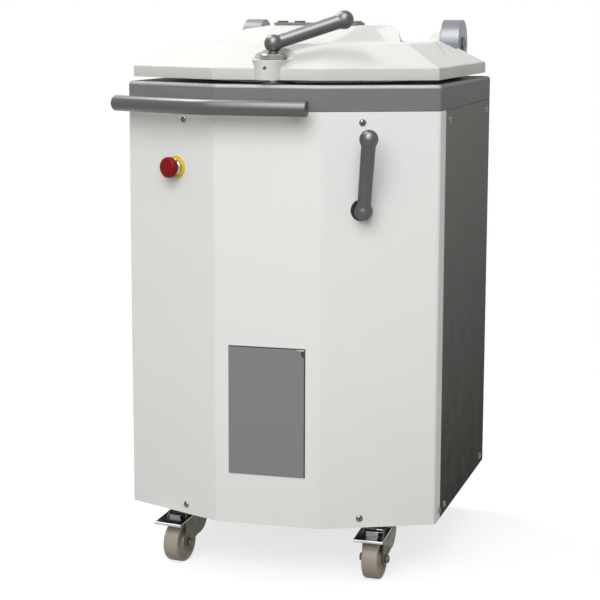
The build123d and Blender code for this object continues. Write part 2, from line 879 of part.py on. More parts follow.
def hump(inset):
    """Mound across the back of the roof with a gentle front slope, moved in by an inset."""
    sink = 2 * lid_wall / hump_knee_rise
    foot_half = hump_foot_half + sink * (hump_foot_half - hump_knee_half)
    foot_y = hump_foot_y - sink * (hump_knee_y - hump_foot_y)
    sections = []
    for rise, half, front in (
        (-2 * lid_wall, foot_half, foot_y),
        (hump_knee_rise, hump_knee_half, hump_knee_y),
        (hump_rise, hump_top_half, hump_top_y),
    ):
        fall = (hump_rise - rise) / (hump_rise + 2 * lid_wall)
        back_half = hump_back_half + fall * hump_back_flare - inset
        back = hump_back_y + fall * hump_back_run - inset
        points = [(inset - half, front), (half - inset, front), (back_half, back), (-back_half, back)]
        sections.append(Pos(0, 0, roof_top + rise - inset) * face_of(points))
    return loft(sections, ruled=True)


def spine(inset):
    """Ridge that widens from the front of the roof to the hump's top, moved in by an inset."""
    low = -2 * lid_wall
    sections = []
    for y, half, top in (
        (spine_front_y, spine_front_half, 0.0),
        (spine_knee_y, spine_knee_half, hump_rise),
        (hump_top_y, hump_top_half, hump_rise),
    ):
        foot = half + (top - low) / tan(radians(spine_flank)) - inset
        points = [(-foot, low), (foot, low), (half - inset, top), (inset - half, top)]
        plane = Plane((0, y, roof_top - inset), x_dir=(1, 0, 0), z_dir=(0, -1, 0))
        sections.append(plane * face_of(points))
    bound = [(hump_foot_half, spine_front_y), (hump_foot_half, hump_foot_y), (hump_top_half, hump_top_y)]
    bound += [(-x, y) for x, y in reversed(bound)]
    return loft(sections, ruled=True) & prism(face_of(bound), rim_top, hump_top)


def nose():
    """Round nose in front of the lock, widening back to the scoop."""
    points = [(-nose_radius, nose_y), (nose_radius, nose_y), (scoop_radius, lock_y), (-scoop_radius, lock_y)]
    return prism(face_of(points) + Pos(0, nose_y) * Circle(nose_radius), rim_bottom, scoop_floor)


def lid_shell():
    outside = hipped(0, rim_bottom, roof_top) + hump(0) + spine(0) + nose()
    hollow = hipped(lid_wall, rim_bottom - past, roof_top - lid_wall) + hump(lid_wall) + spine(lid_wall)
    shell = outside - hollow
    shell += upright(scoop_radius + lid_wall, beam_top, hump_top, 0, lock_y) & outside
    shell -= upright(scoop_radius, scoop_floor, hump_top + past, 0, lock_y)
    shell -= upright(shaft_radius + running_gap, rim_bottom, hump_top, 0, lock_y)
    inner = knuckle_inner - arm_gap - arm_width - slot_gap
    outer = knuckle_inner - arm_gap + slot_gap
    for x in ((-outer, -inner), (inner, outer)):
        shell -= block(x, (lid_back_y - slot_depth, lid_back_y), (rim_bottom, roof_top))
    return shell


def lid_beam():
    broad = block((-beam_half, beam_half), (-beam_front, beam_back), (beam_bottom, beam_top))
    tongue_y = (lock_y - tongue_lead, -beam_front)
    tongue = block((-tongue_half, tongue_half), tongue_y, (beam_bottom, beam_top))
    return broad + tongue - upright(shaft_radius + running_gap, beam_bottom, beam_top, 0, lock_y)


def lid_pressure_plate():
    disc = upright(bowl_radius - press_plate_gap, press_plate_bottom, beam_bottom)
    return fillet(disc.faces().sort_by(Axis.Z)[0].edges(), press_plate_round)


def top_plate_bolts():
    return [
        (x, top_plate_y + row * top_bolt_pitch / 2)
        for x in (-top_bolt_far, -top_bolt_near, top_bolt_near, top_bolt_far)
        for row in (-1, 1)
    ]


def lid_top_plate():
    plate = Box(top_plate_width, top_plate_depth, top_plate_thickness)
    plate = Pos(0, top_plate_y, hump_top + top_plate_thickness / 2) * plate
    for x, y in top_plate_bolts():
        plate -= upright(top_bolt_shank + screw_gap, hump_top, hump_top + top_plate_thickness, x, y)
    return plate


def lid_top_bolts():
    bolts = []
    for x, y in top_plate_bolts():
        seat = hump_top + top_plate_thickness
        head = Pos(x, y, seat) * extrude(RegularPolygon(top_bolt_radius, 6), amount=top_bolt_head)
        bolts.append(head + upright(top_bolt_shank, hump_top, seat, x, y))
    return group(*bolts)


# Hinge
def hinge_profile(points, radius):
    """Side view of a hinge piece: a round eye on the hinge axis, bored for the pin, and its foot."""
    axis = Pos(hinge_y, hinge_level)
    return axis * Circle(radius) + face_of(points) - axis * Circle(pin_radius + running_gap)


def along_x(face, low, high):
    """Solid between two places along X from a face drawn in Y and Z."""
    return Plane((low, 0, 0), x_dir=(0, 1, 0), z_dir=(1, 0, 0)) * extrude(face, amount=high - low)


def hinge_knuckles():
    front = hinge_y - knuckle_radius
    toe = front - knuckle_toe
    heel = back_y - frame_edge
    reach = sqrt((hinge_y - heel) ** 2 + hinge_rise**2)
    run = sqrt(reach**2 - knuckle_radius**2)
    lean = atan2(hinge_rise, hinge_y - heel) - atan2(knuckle_radius, run)
    foot = [
        (hinge_y, hinge_level),
        (front, hinge_level),
        (front, frame_top + knuckle_pad),
        (toe, frame_top + knuckle_pad),
        (toe, frame_top),
        (heel, frame_top),
        (heel + run * cos(lean), frame_top + run * sin(lean)),
    ]
    profile = hinge_profile(foot, knuckle_radius)
    outer = knuckle_inner + knuckle_width
    return group(along_x(profile, -outer, -knuckle_inner), along_x(profile, knuckle_inner, outer))


def hinge_pins():
    length = arm_width + arm_gap + knuckle_width
    pin = upright(pin_radius, 0, length) + Pos(0, 0, length) * domed_head(pin_head_radius, pin_head)
    pins = []
    for side in (-1, 1):
        end = side * (knuckle_inner - arm_gap - arm_width)
        pins.append(Plane((end, hinge_y, hinge_level), x_dir=(0, 1, 0), z_dir=(side, 0, 0)) * pin)
    return group(*pins)


def lid_hinge_arms():
    neck = arm_eye * cos(radians(45))
    foot = [
        (beam_back - arm_root, beam_top),
        (hinge_y, beam_top),
        (hinge_y + neck, hinge_level - neck),
        (hinge_y - neck, hinge_level + neck),
        (beam_back, beam_top + arm_shoulder),
        (beam_back - arm_root, beam_top + arm_toe),
    ]
    profile = hinge_profile(foot, arm_eye)
    outer = knuckle_inner - arm_gap
    inner = outer - arm_width
    return group(along_x(profile, -outer, -inner), along_x(profile, inner, outer))


# Lid lock
def lock_disc():
    disc = upright(disc_radius, disc_bottom, disc_top, 0, lock_y)
    disc = fillet(disc.edges().filter_by(GeomType.CIRCLE), disc_round)
    return disc - upright(shaft_radius + running_gap, disc_bottom, disc_top, 0, lock_y)


def lock_shaft():
    low = frame_top - lock_reach
    shaft = upright(shaft_radius, low, disc_top, 0, lock_y)
    return chamfer(shaft.faces().sort_by(Axis.Z)[0].edges(), shaft_lead)


def lock_lever():
    return Pos(0, lock_y, disc_top) * Rot(0, 0, lock_lever_turn) * ball_lever()


def lock_keeper():
    low = frame_top - lock_reach - stack_gap
    cup = upright(keeper_radius + keeper_wall, low, frame_top, 0, lock_y)
    cup += upright(keeper_flange, frame_top, frame_top + keeper_height, 0, lock_y)
    return cup - upright(keeper_radius, low, frame_top + keeper_height, 0, lock_y)


# Casters, drawn with the swivel axis on Z and the trail along +X
def caster_fork():
    crown = upright(crown_radius, crown_bottom, crown_top)
    bridge = block((-crown_radius, crown_radius), (-leg_outer, leg_outer), (crown_bottom, crown_top))
    lead = pedal_pin_lead + 2 * pedal_pin_radius
    profile = [(heel_x, crown_top), (lead, crown_top), (lead, crown_bottom - 2 * pedal_pin_radius)]
    profile += [(caster_trail + leg_tip, axle_level), (caster_trail - leg_tip, axle_level)]
    profile += [(heel_x, heel_level - heel_radius)]
    heel = Pos(heel_x, heel_level) * Circle(heel_radius)
    heel &= Pos(heel_x, crown_top - heel_radius) * Rectangle(2 * heel_radius, 2 * heel_radius)
    side = face_of(profile) + heel + Pos(caster_trail, axle_level) * Circle(leg_tip)
    side -= Pos(caster_trail, axle_level) * Circle(axle_radius)
    upstand = Plane((0, 0, 0), x_dir=(1, 0, 0), z_dir=(0, -1, 0))
    fork = crown + bridge
    for low in (-leg_outer, leg_inner):
        fork += upstand * (Pos(0, 0, low) * extrude(side, amount=leg_thickness))
    fork -= upright(kingpin_radius + running_gap, crown_bottom - past, crown_top + past)
    return fork


def across(radius, reach, x, z):
    """Cylinder along local Y, as long on both sides of the wheel's middle plane."""
    return Pos(x, 0, z) * Rot(90, 0, 0) * Cylinder(radius, 2 * reach)


def axle_bolt():
    bolt = across(axle_radius, leg_outer, caster_trail, axle_level)
    for side in (-1, 1):
        nut = across(axle_nut, axle_nut_height / 2, caster_trail, axle_level)
        nut = fillet(nut.edges().filter_by(GeomType.CIRCLE), axle_nut_round)
        bolt += Pos(0, side * (leg_outer + axle_nut_height / 2), 0) * nut
    return bolt


def pedal_pin():
    return across(pedal_pin_radius, leg_inner, pedal_pin_lead, caster_height - pedal_pin_drop)


def caster_wheel():
    half = wheel_width / 2
    web = wheel_dish - half
    rim = wheel_radius - wheel_rim
    profile = [(axle_radius + running_gap, -half), (wheel_hub, -half), (wheel_hub + wheel_draft, web)]
    profile += [(rim - wheel_draft, web), (rim, -half)]
    profile += [(wheel_radius - wheel_edge, -half), (wheel_radius, wheel_edge - half)]
    outline = profile + [(x, -y) for x, y in reversed(profile)]
    wheel = revolve(face_of(outline), Axis.Y)
    return Pos(caster_trail, 0, axle_level) * wheel


def brake_pedal():
    reach = leg_inner - face_gap
    barrel = Rot(90, 0, 0) * Cylinder(pedal_barrel, 2 * reach)
    neck = block((0, pedal_neck), (-reach, reach), (0, pedal_thickness))
    tread = block((pedal_neck, pedal_reach), (-pedal_half, pedal_half), (0, pedal_thickness))
    tab_top = pedal_thickness + pedal_tab_height
    tab = block((pedal_tab, pedal_tab + pedal_thickness), (-pedal_tab_half, pedal_tab_half), (0, tab_top))
    lip = Pos(pedal_reach, 0, 0) * Rot(90, 0, 0) * Cylinder(pedal_lip, 2 * pedal_half)
    pedal = barrel + neck + tread + tab + lip
    pedal -= Rot(90, 0, 0) * Cylinder(pedal_pin_radius + running_gap, 2 * reach)
    inner = leg_outer + face_gap
    for low, high in ((-pedal_half, -inner), (inner, pedal_half)):
        pedal += block((-pedal_tail, pedal_neck), (low, high), (0, pedal_thickness))
    return Pos(pedal_pin_lead, 0, caster_height - pedal_pin_drop) * Rot(0, pedal_slope, 0) * pedal


def caster_plate():
    low = caster_height - caster_plate_thickness
    plate = block(
        (-caster_plate_width / 2, caster_plate_width / 2),
        (-caster_plate_length / 2, caster_plate_length / 2),
        (low, caster_height),
    )
    plate += upright(race_radius, race_bottom, low)
    pin_end = crown_bottom - face_gap - kingpin_head_height
    plate += upright(kingpin_radius, pin_end, low)
    return plate + upright(kingpin_head, pin_end, crown_bottom - face_gap)


caster_places = {
    "front_left": (-caster_x, -caster_y, front_left_swivel),
    "front_right": (caster_x, -caster_y, front_right_swivel),
    "rear_left": (-caster_x, caster_y, rear_left_swivel),
    "rear_right": (caster_x, caster_y, rear_right_swivel),
}
braked_casters = ("front_left", "front_right")


def placed(name, piece):
    """A caster piece on its swivel axis, with the trail turned from the front towards -X."""
    x, y, swivel = caster_places[name]
    return Pos(x, y, 0) * Rot(0, 0, -90 - swivel) * piece


def caster_nodes():
    nodes = {"caster_plates": group(*[Pos(x, y, 0) * caster_plate() for x, y, _ in caster_places.values()])}
    for name in caster_places:
        fork = [caster_fork(), axle_bolt()]
        if name in braked_casters:
            fork.append(pedal_pin())
            nodes[f"brake_pedal_{name}"] = placed(name, brake_pedal())
        nodes[f"caster_fork_{name}"] = placed(name, group(*fork))
        nodes[f"caster_wheel_{name}"] = placed(name, caster_wheel())
    return nodes


nodes = {
    "base_frame": base_frame(),
    "base_plate": base_plate(),
    "corner_posts": corner_posts(),
    "deck_plate": deck_plate(),
    "top_frame": top_frame(),
    "front_panel": front_panel(),
    "left_side_panel": side_panel(-1, "left"),
    "right_side_panel": side_panel(1, "right"),
    "rear_panel": rear_panel(),
    "panel_screws": panel_screws(),
    "notice_plate": notice_plate(),
    "grab_bar": grab_bar(),
    "bowl": bowl(),
    "plunger_segments": plunger_segments(),
    "plunger_carrier": plunger_carrier(),
    "plunger_rod": plunger_rod(),
    "knife_grid": knife_grid(),
    "knife_rods": knife_rods(),
    "main_cylinder": main_cylinder(),
    "cylinder_head": cylinder_head(),
    "knife_cylinders": knife_cylinders(),
    "guide_rods": guide_rods(),
    "oil_tank": oil_tank(),
    "pump_motor": pump_motor(),
    "gear_pump": gear_pump(),
    "valve_block": valve_block(),
    "hydraulic_hoses": hydraulic_hoses(),
    "electrical_box": electrical_box(),
    "cable_gland": cable_gland(),
    "control_bush": control_bush(),
    "control_spindle": control_spindle(),
    "control_lever": control_lever(),
    "stop_ring": stop_ring(),
    "stop_collar": stop_collar(),
    "stop_contact_block": stop_contact_block(),
    "stop_stem": stop_stem(),
    "stop_button": stop_button(),
    "lid_shell": lid_shell(),
    "lid_beam": lid_beam(),
    "lid_pressure_plate": lid_pressure_plate(),
    "lid_top_plate": lid_top_plate(),
    "lid_top_bolts": lid_top_bolts(),
    "lid_hinge_arms": lid_hinge_arms(),
    "hinge_knuckles": hinge_knuckles(),
    "hinge_pins": hinge_pins(),
    "lock_disc": lock_disc(),
    "lock_shaft": lock_shaft(),
    "lock_lever": lock_lever(),
    "lock_keeper": lock_keeper(),
}
nodes |= caster_nodes()

os.makedirs("parts", exist_ok=True)
for name, shape in nodes.items():
    export_step(shape, f"parts/{name}.step")
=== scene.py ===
import json
from math import atan2, cos, degrees, hypot, pi, radians, sin, sqrt, tan
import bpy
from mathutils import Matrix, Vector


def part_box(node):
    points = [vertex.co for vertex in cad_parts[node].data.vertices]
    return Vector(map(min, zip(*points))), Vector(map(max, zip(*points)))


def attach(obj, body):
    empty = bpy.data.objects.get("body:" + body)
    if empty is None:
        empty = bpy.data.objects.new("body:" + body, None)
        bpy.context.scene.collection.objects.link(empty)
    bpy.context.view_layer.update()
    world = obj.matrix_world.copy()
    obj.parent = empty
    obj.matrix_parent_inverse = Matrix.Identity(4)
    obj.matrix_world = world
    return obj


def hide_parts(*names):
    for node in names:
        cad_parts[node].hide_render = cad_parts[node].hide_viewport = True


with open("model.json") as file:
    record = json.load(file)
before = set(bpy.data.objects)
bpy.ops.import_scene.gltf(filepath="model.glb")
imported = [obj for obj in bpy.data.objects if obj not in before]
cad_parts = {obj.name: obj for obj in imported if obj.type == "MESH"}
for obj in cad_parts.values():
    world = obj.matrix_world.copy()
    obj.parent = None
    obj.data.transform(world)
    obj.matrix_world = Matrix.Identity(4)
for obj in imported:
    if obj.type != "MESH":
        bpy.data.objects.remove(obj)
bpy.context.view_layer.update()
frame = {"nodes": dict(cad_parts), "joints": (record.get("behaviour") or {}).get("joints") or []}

from types import SimpleNamespace

import bmesh
import bpy
from bpy.props import FloatProperty, FloatVectorProperty, IntProperty, PointerProperty
from mathutils import Matrix, Vector

bl_info = {
    "name": "Dough divider dressing",
    "version": (1, 0, 0),
    "blender": (4, 5, 0),
    "location": "View3D > Sidebar > Divider",
    "description": "Visible pieces, finishes and studio for a hydraulic dough divider",
    "category": "Object",
}

MM = 0.001
UP = Vector((0.0, 0.0, 1.0))
SHARP = radians(32)             # edges that turn further than this stay sharp

# Lid, in millimetres: its dents, its scoop, and the roundings and grid lines of its skin
DENT_RUN = 9.0                  # over which a dent's soft wall falls
DENT_LIP = 2.0                  # over which its sharp wall falls
DENT_TIP = (34.0, 14.0)         # its front corner: in from the lid's side, behind the bowl axis
DENT_BACK = (50.0, 225.0)       # its rear corner, likewise
END_SLOPE = 3.5                 # fall of the hump's ends over their run
SEAT_GAP = 0.3                  # scoop's floor below the lock's disc
SCOOP_REACH, SCOOP_FILLET, SCOOP_SLOPE, SCOOP_SINK = 8.0, 6.0, 7.0, 0.2
HIP_BLEND, BEND_BLEND, END_BLEND = 2.4, 4.0, 3.0
RIDGE_BLEND, FOOT_BLEND, SCOOP_BLEND = 2.5, 5.0, 2.0
COARSE, FINE, FINE_MARGIN = 4.6, 1.7, 16.0      # spacing away from the lock and near it
RIM_LINES = (0.0, 0.25, 0.9, 2.2, 5.0)          # in from the rim
FOLD_LINES = (-1.8, 0.0, 1.8)                   # beside a fold

# Fittings, in millimetres: places from the cabinet's middle, insets from an edge, and softened edges
LEVER_X, STOP_X = 174.0, 191.0
BUSH_RISE = 3.0                 # valve lever's seat in front of its facet
STANDOFF_INSET = 32.0           # from the hand bar's ends
FACET_SCREW_X, REAR_SCREW_X, SIDE_SCREW_Y = 175.0, 220.0, -134.0
REAR_INSET, WRAP_INSET = 50.0, 9.0              # from the back, and from the front panel's wrapped edge
KNUCKLE_EDGE, FORK_EDGE, PEDAL_EDGE = 1.6, 0.6, 0.5
ROD_BLEND, ROD_CLEAR = 3.0, 0.4                 # lever's rod into its balls

# Colours and levels of the finishes
WHITE = (1.0, 1.0, 1.0, 1.0)
SOIL = (0.20, 0.17, 0.13, 1.0)
# painted shade that the side panels darken to towards the floor
SIDE_PAINTED_SHADE = (0.030, 0.029, 0.022, 1.0)
GRIME = (0.07, 0.06, 0.04, 1.0)
FRAME_EDGE_HIGHLIGHT = (0.9435, 0.9506)   # levels of the painted highlight along the top frame's rounded edge, in metres
FRAME_COAT = {"coat": 0.12, "coat_rough": 0.12, "specular": 0.0}


def box_mm(node):
    """Lowest and highest corner of a CAD node in millimetres."""
    low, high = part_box(node)
    return low / MM, high / MM


# Sizes and colours that a user would change
def length(name, description, default):
    return FloatProperty(
        name=name, description=description, default=default * MM, min=0.0, unit="LENGTH", precision=4
    )


def turn(name, description, default):
    return FloatProperty(name=name, description=description, default=radians(default), subtype="ANGLE")


def tint(name, description, default):
    return FloatVectorProperty(
        name=name, description=description, default=(*default, 1.0), size=4, min=0.0, max=1.0, subtype="COLOR"
    )


class DividerSizes(bpy.types.PropertyGroup):
    """Lengths of the visible pieces."""

    fold_half: length("Fold half width", "Half width of the flat middle of the cabinet's front", 103.5)
    facet_depth: length("Facet depth", "How far the slanted facets run back", 95.0)
    lid_fold: length("Lid fold", "Half width of the flat middle of the lid's front", 107.0)
    lid_corner: length("Lid corner", "Side fold of the lid, behind the front of its rim", 102.5)
    rim_height: length("Rim height", "Height of the lid's upright rim", 22.0)
    rim_round: length("Rim round", "Rounding of the rim's upper edge", 2.2)
    lid_wall: length("Lid wall", "Thickness of the moulded shell", 4.0)
    roof_rise: length("Roof rise", "Flat roof above the rim", 44.0)
    front_run: length("Front run", "Run of the front slope", 98.5)
    side_run: length("Side run", "Run of the side slopes", 77.0)
    back_run: length("Back run", "Run of the rear slope", 62.0)
    roof_fold: length("Roof fold", "Half width of the front edge of the roof", 90.0)
    roof_corner: length("Roof corner", "Front corners of the roof, behind the lid's side fold", 67.0)
    hump_rise: length("Hump rise", "Hump above the flat roof", 33.0)
    hump_foot: length("Hump foot", "Front foot of the hump, behind the bowl axis", 18.0)
    hump_foot_half: length("Hump foot half", "Half length of the hump at its front foot", 178.0)
    hump_knee: length("Hump knee", "Where the hump's front slope flattens, behind the bowl axis", 60.0)
    hump_knee_half: length("Hump knee half", "Half length of the hump where its slope flattens", 164.0)
    hump_knee_rise: length("Hump knee rise", "Height where the hump's slope flattens", 24.0)
    hump_top: length("Hump top", "Front edge of the hump's top, behind the bowl axis", 163.0)
    hump_top_half: length("Hump top half", "Half length of the hump's top", 127.0)
    hump_back: length("Hump back", "Rear edge of the hump's top, behind the bowl axis", 205.0)
    hump_back_half: length("Hump back half", "Half length of the hump's rear edge", 116.0)
    hump_back_run: length("Hump back run", "Run of the hump's rear face", 12.0)
    spine_lead: length("Spine lead", "Where the spine rises out of the roof, ahead of the bowl axis", 130.0)
    spine_front_half: length("Spine front half", "Half width of the spine where it rises", 74.0)
    spine_knee: length("Spine knee", "Where the spine reaches the hump's level, behind the bowl axis", 20.0)
    spine_knee_half: length("Spine knee half", "Half width of the spine where it reaches that level", 94.0)
    scoop_radius: length("Scoop radius", "Hollow behind the lock", 39.0)
    nose_radius: length("Nose radius", "Round nose below the lock", 27.0)
    nose_lead: length("Nose lead", "Nose axis, ahead of the lock axis", 29.0)
    nose_hole: length("Nose hole", "Radius of the small hole in the nose", 3.4)
    nose_flare: length("Nose flare", "Widening of the nose's lip, each side", 5.0)
    nose_reach: length("Nose reach", "Nose ahead of the front of the rim", 16.5)
    dent_depth: length("Dent depth", "Three-cornered dents ahead of the hinges", 4.0)
    dent_top: length("Dent top", "Where a dent's wall meets the roof's edge, behind the bowl axis", 126.0)
    hub_radius: length("Hub ball", "Radius of a lever's hub ball", 17.0)
    grip_radius: length("Grip ball", "Radius of a lever's grip ball", 17.5)
    hub_height: length("Hub height", "Hub centre above its seat", 19.0)
    lever_length: length("Lever length", "Between the two ball centres", 143.0)
    rod_at_hub: length("Rod at the hub", "Radius of the lever's rod beside the hub", 12.5)
    rod_at_grip: length("Rod at the grip", "Radius of the lever's rod beside the grip", 13.5)
    neck_radius: length("Neck radius", "Neck between a lever's hub and its seat", 9.5)
    bar_radius: length("Bar radius", "Radius of the hand bar", 15.0)
    bar_bend: length("Bar bend", "Bend radius of the hand bar's axis", 120.0)
    screw_head: length("Screw head", "Radius of a panel screw's head", 6.8)
    bolt_head: length("Bolt head", "Radius across the corners of a hump bolt", 6.5)
    bolt_near: length("Near bolts", "Inner hump bolts, from the middle", 42.0)
    notice_corner: length("Notice corner", "Turned corner of the plain plate", 16.0)
    arm_width: length("Hinge arm", "Width of a hinge arm", 22.0)
    slot_gap: length("Slot gap", "Lid either side of a hinge arm", 4.0)
    slot_depth: length("Slot depth", "Slot for a hinge arm, ahead of the rim's back", 36.0)
    edge: length("Edge", "Softened edge of sheet metal pieces", 0.8)


class DividerTurns(bpy.types.PropertyGroup):
    """Angles and counts of the visible pieces."""

    lever_rise: turn("Lever rise", "Rise of a ball lever from its seat", 18.0)
    lock_turn: turn("Lock turn", "Lock lever, turned from the right towards the back", 28.0)
    spine_flank: turn("Spine flank", "Slope of the spine's sides", 30.0)
    screw_seed: IntProperty(
        name="Screw seed", description="Seed of the screws' random turns", default=7, min=0
    )


class DividerColours(bpy.types.PropertyGroup):
    """Base colours of the finishes."""

    panel_white: tint("Panel white", "Powder coat of the front panel", (0.86, 0.882, 0.868))
    lid_white: tint("Lid white", "Moulded lid", (0.670, 0.692, 0.650))
    frame_grey: tint("Frame grey", "Top frame and hump plate", (0.212, 0.219, 0.214))
    side_grey: tint("Side grey", "Side and rear panels", (0.325, 0.345, 0.332))
    bar_grey: tint("Bar grey", "Hand bar", (0.105, 0.108, 0.110))
    lever_silver: tint("Lever silver", "Ball levers", (0.100, 0.100, 0.099))
    bright_steel: tint("Bright steel", "Emergency stop's collar and small steel pieces", (0.52, 0.53, 0.54))
    machined_steel: tint("Machined steel", "Lock shaft, rods and cylinders", (0.45, 0.46, 0.46))
    stainless: tint("Stainless", "Bowl and knives", (0.55, 0.55, 0.54))
    press_white: tint("Press white", "Pressure plate and plunger", (0.74, 0.74, 0.70))
    base_black: tint("Base black", "Base frame, posts and deck", (0.045, 0.045, 0.048))
    unit_grey: tint("Power unit", "Oil tank and pump motor", (0.12, 0.16, 0.20))
    hose_black: tint("Hose black", "Hoses", (0.02, 0.02, 0.021))
    plastic_black: tint("Plastic black", "Bush, gland and electrical box", (0.018, 0.018, 0.019))
    stop_red: tint("Stop red", "Mushroom head", (0.235, 0.005, 0.007))
    stop_yellow: tint("Stop yellow", "Disc behind the stop", (0.80, 0.56, 0.02))
    notice_grey: tint("Notice grey", "Plain plate on the front", (0.225, 0.227, 0.237))
    # zinc darkened and browned: painted shade and painted reflection of a dark floor under the cabinet
    zinc_with_painted_shade: tint("Zinc", "Casters' forks and plates", (0.135, 0.120, 0.085))
    wheel_nylon: tint("Wheel nylon", "Casters' wheels", (0.36, 0.325, 0.26))
    # colour of a painted highlight along the top frame's rounded edge
    edge_highlight: tint("Edge pale", "Light along the top frame's rounded edge", (0.62, 0.635, 0.65))
    knuckle_grey: tint("Knuckle grey", "Hinge knuckles", (0.17, 0.178, 0.19))
    pin_dark: tint("Pin dark", "Hinge pins, hump bolts and lock keeper", (0.16, 0.16, 0.15))
    pedal_steel: tint("Pedal steel", "Brake pedals", (0.40, 0.405, 0.42))
    lock_steel: tint("Lock steel", "Disc under the lock lever", (0.30, 0.30, 0.295))
    screw_steel: tint("Screw steel", "Panel screws", (0.15, 0.15, 0.145))
    plate_edge: tint("Plate edge", "Backing of the plain plate", (0.045, 0.046, 0.05))
    plate_pale: tint("Plate fold", "Turned corner of the plain plate", (0.30, 0.30, 0.29))


def keys_of(group):
    """Names of a property group's own properties."""
    return [key for key in group.bl_rna.properties.keys() if key not in ("rna_type", "name")]


def sizes(context):
    """The lengths in millimetres, by name."""
    group = context.scene.divider_sizes
    return SimpleNamespace(**{key: getattr(group, key) / MM for key in keys_of(group)})


# Shader nodes and finishes
class Wire:
    """A shader socket whose arithmetic adds Math nodes to its tree."""

    def __init__(self, maker, socket):
        self.maker = maker
        self.socket = socket

    def maths(self, operation, first, second):
        return self.maker.node("ShaderNodeMath", {"operation": operation}, {0: first, 1: second})

    def __add__(self, other):
        return self.maths("ADD", self, other)

    def __sub__(self, other):
        return self.maths("SUBTRACT", self, other)

    def __rsub__(self, other):
        return self.maths("SUBTRACT", other, self)

    def __mul__(self, other):
        return self.maths("MULTIPLY", self, other)

    __radd__ = __add__
    __rmul__ = __mul__


class Nodes:
    """Adds nodes to a shader tree."""

    def __init__(self, tree):
        self.tree = tree

    def node(self, kind, settings=None, inputs=None, output=0):
        made = self.tree.nodes.new(kind)
        for key, value in (settings or {}).items():
            setattr(made, key, value)
        for key, value in (inputs or {}).items():
            self.feed(made.inputs[key], value)
        return Wire(self, made.outputs[output])

    def feed(self, socket, value):
        if isinstance(value, Wire):
            self.tree.links.new(value.socket, socket)
        else:
            socket.default_value = value


class Finish(Nodes):
    """A material in the making."""

    def __init__(self, name):
        self.material = bpy.data.materials.new(name)
        self.material.use_nodes = True
        super().__init__(self.material.node_tree)
        self.shader = self.tree.nodes["Principled BSDF"]
        self.place = self.node("ShaderNodeTexCoord", output="Object")

    def grain(self, scale, detail=2.0, stretch=(1.0, 1.0, 1.0)):
        """Noise from 0 to 1, with its scale in cells per metre."""
        vector = self.node("ShaderNodeMapping", None, {"Vector": self.place, "Scale": stretch})
        return self.node("ShaderNodeTexNoise", None, {"Vector": vector, "Scale": scale, "Detail": detail})

    def level(self, axis="Z"):
        """One coordinate of the surface in metres."""
        return self.node("ShaderNodeSeparateXYZ", None, {"Vector": self.place}, axis)

    def ramp(self, value, low, high):
        """0 at the first number and 1 at the second, clamped."""
        return self.node("ShaderNodeMapRange", None, {"Value": value, "From Min": low, "From Max": high})

    def mix(self, share, first, second):
        return self.node("ShaderNodeMix", {"data_type": "RGBA"}, {0: share, 6: first, 7: second}, 2)

    def bump(self, height, strength, distance):
        inputs = {"Strength": strength, "Distance": distance, "Height": height}
        return self.node("ShaderNodeBump", None, inputs, "Normal")

    def done(self, **inputs):
        names = {
            "colour": "Base Color", "rough": "Roughness", "metal": "Metallic", "normal": "Normal",
            "coat": "Coat Weight", "coat_rough": "Coat Roughness", "specular": "Specular IOR Level",
        }
        for key, value in inputs.items():
            self.feed(self.shader.inputs[names[key]], value)
        return self.material


def shade(colour, factor):
    """A colour made lighter or darker by a factor."""
    return (*[min(1.0, part * factor) for part in colour[:3]], 1.0)


def powder_coat(finish, colour, rough, peel):
    """Faintly clouded colour, roughness and orange peel of a powder coat."""
    cloud = finish.grain(7.0, 3.0)
    skin = finish.grain(700.0, 2.0)
    body = finish.mix(cloud * 0.8, shade(colour, 1.015), shade(colour, 0.98))
    return body, rough + (cloud - 0.5) * 0.10 + (skin - 0.5) * 0.06, finish.bump(skin, peel, 0.0006)


def painted(
    name, colour, rough, peel=0.05, metal=0.0, coat=0.0, coat_rough=0.25, specular=0.3,
    soil_and_shade=0.0, top=0.42, dirt_and_shade=SOIL,
):
    """Powder coat with fine flecks, and a darker colour from a level down to the floor: soil on the white
    panel, painted shade on the side panels.
    """
    finish = Finish(name)
    body, tooth, normal = powder_coat(finish, colour, rough, peel)
    body = finish.mix(finish.grain(2600.0, 1.0) * 0.22, body, shade(colour, 0.90))
    # share of the darker colour from the given level down to the floor: soil on the white panel, painted
    # shade on the side panels
    low = finish.ramp(finish.level(), top, 0.10) * (0.6 + finish.grain(16.0, 4.0) * 0.4)
    return finish.done(
        colour=finish.mix(low * soil_and_shade, body, dirt_and_shade), rough=tooth, metal=metal,
        coat=coat, coat_rough=coat_rough, specular=specular, normal=normal,
    )


def painted_edge_highlight(name, colour, edge, low, high):
    """Powder coat with a painted highlight between two levels: strongest on the front's middle and right,
    weaker on the rest.
    """
    finish = Finish(name)
    body, tooth, normal = powder_coat(finish, colour, 0.45, 0.05)
    height = finish.level()
    # painted highlight on the rounded edge, between the two levels
    highlight_band = finish.ramp(height, low, low + 0.003) * finish.ramp(height, high, high - 0.0006)
    # the painted highlight weakens on the left facet and fades back along the sides
    side = 0.45 + finish.ramp(finish.level("X"), -0.108, -0.098) * 0.55
    side = side * (0.12 + finish.ramp(finish.level("Y"), -0.214, -0.222) * 0.88)
    return finish.done(
        colour=finish.mix(highlight_band * side, body, tuple(edge)), rough=tooth, normal=normal, **FRAME_COAT
    )


def moulded(name, colour, rough, specks=0.05, specular=0.4):
    """Moulded shell or plastic: smooth, with soft clouding and a very fine tooth."""
    finish = Finish(name)
    cloud = finish.grain(9.0, 2.0)
    tooth = finish.grain(1800.0, 2.0)
    body = finish.mix(cloud * 0.7, shade(colour, 1.02), shade(colour, 0.965))
    return finish.done(
        colour=finish.mix(tooth * specks, body, shade(colour, 0.85)),
        rough=rough + (cloud - 0.5) * 0.12,
        specular=specular,
        normal=finish.bump(tooth, 0.04, 0.0004),
    )


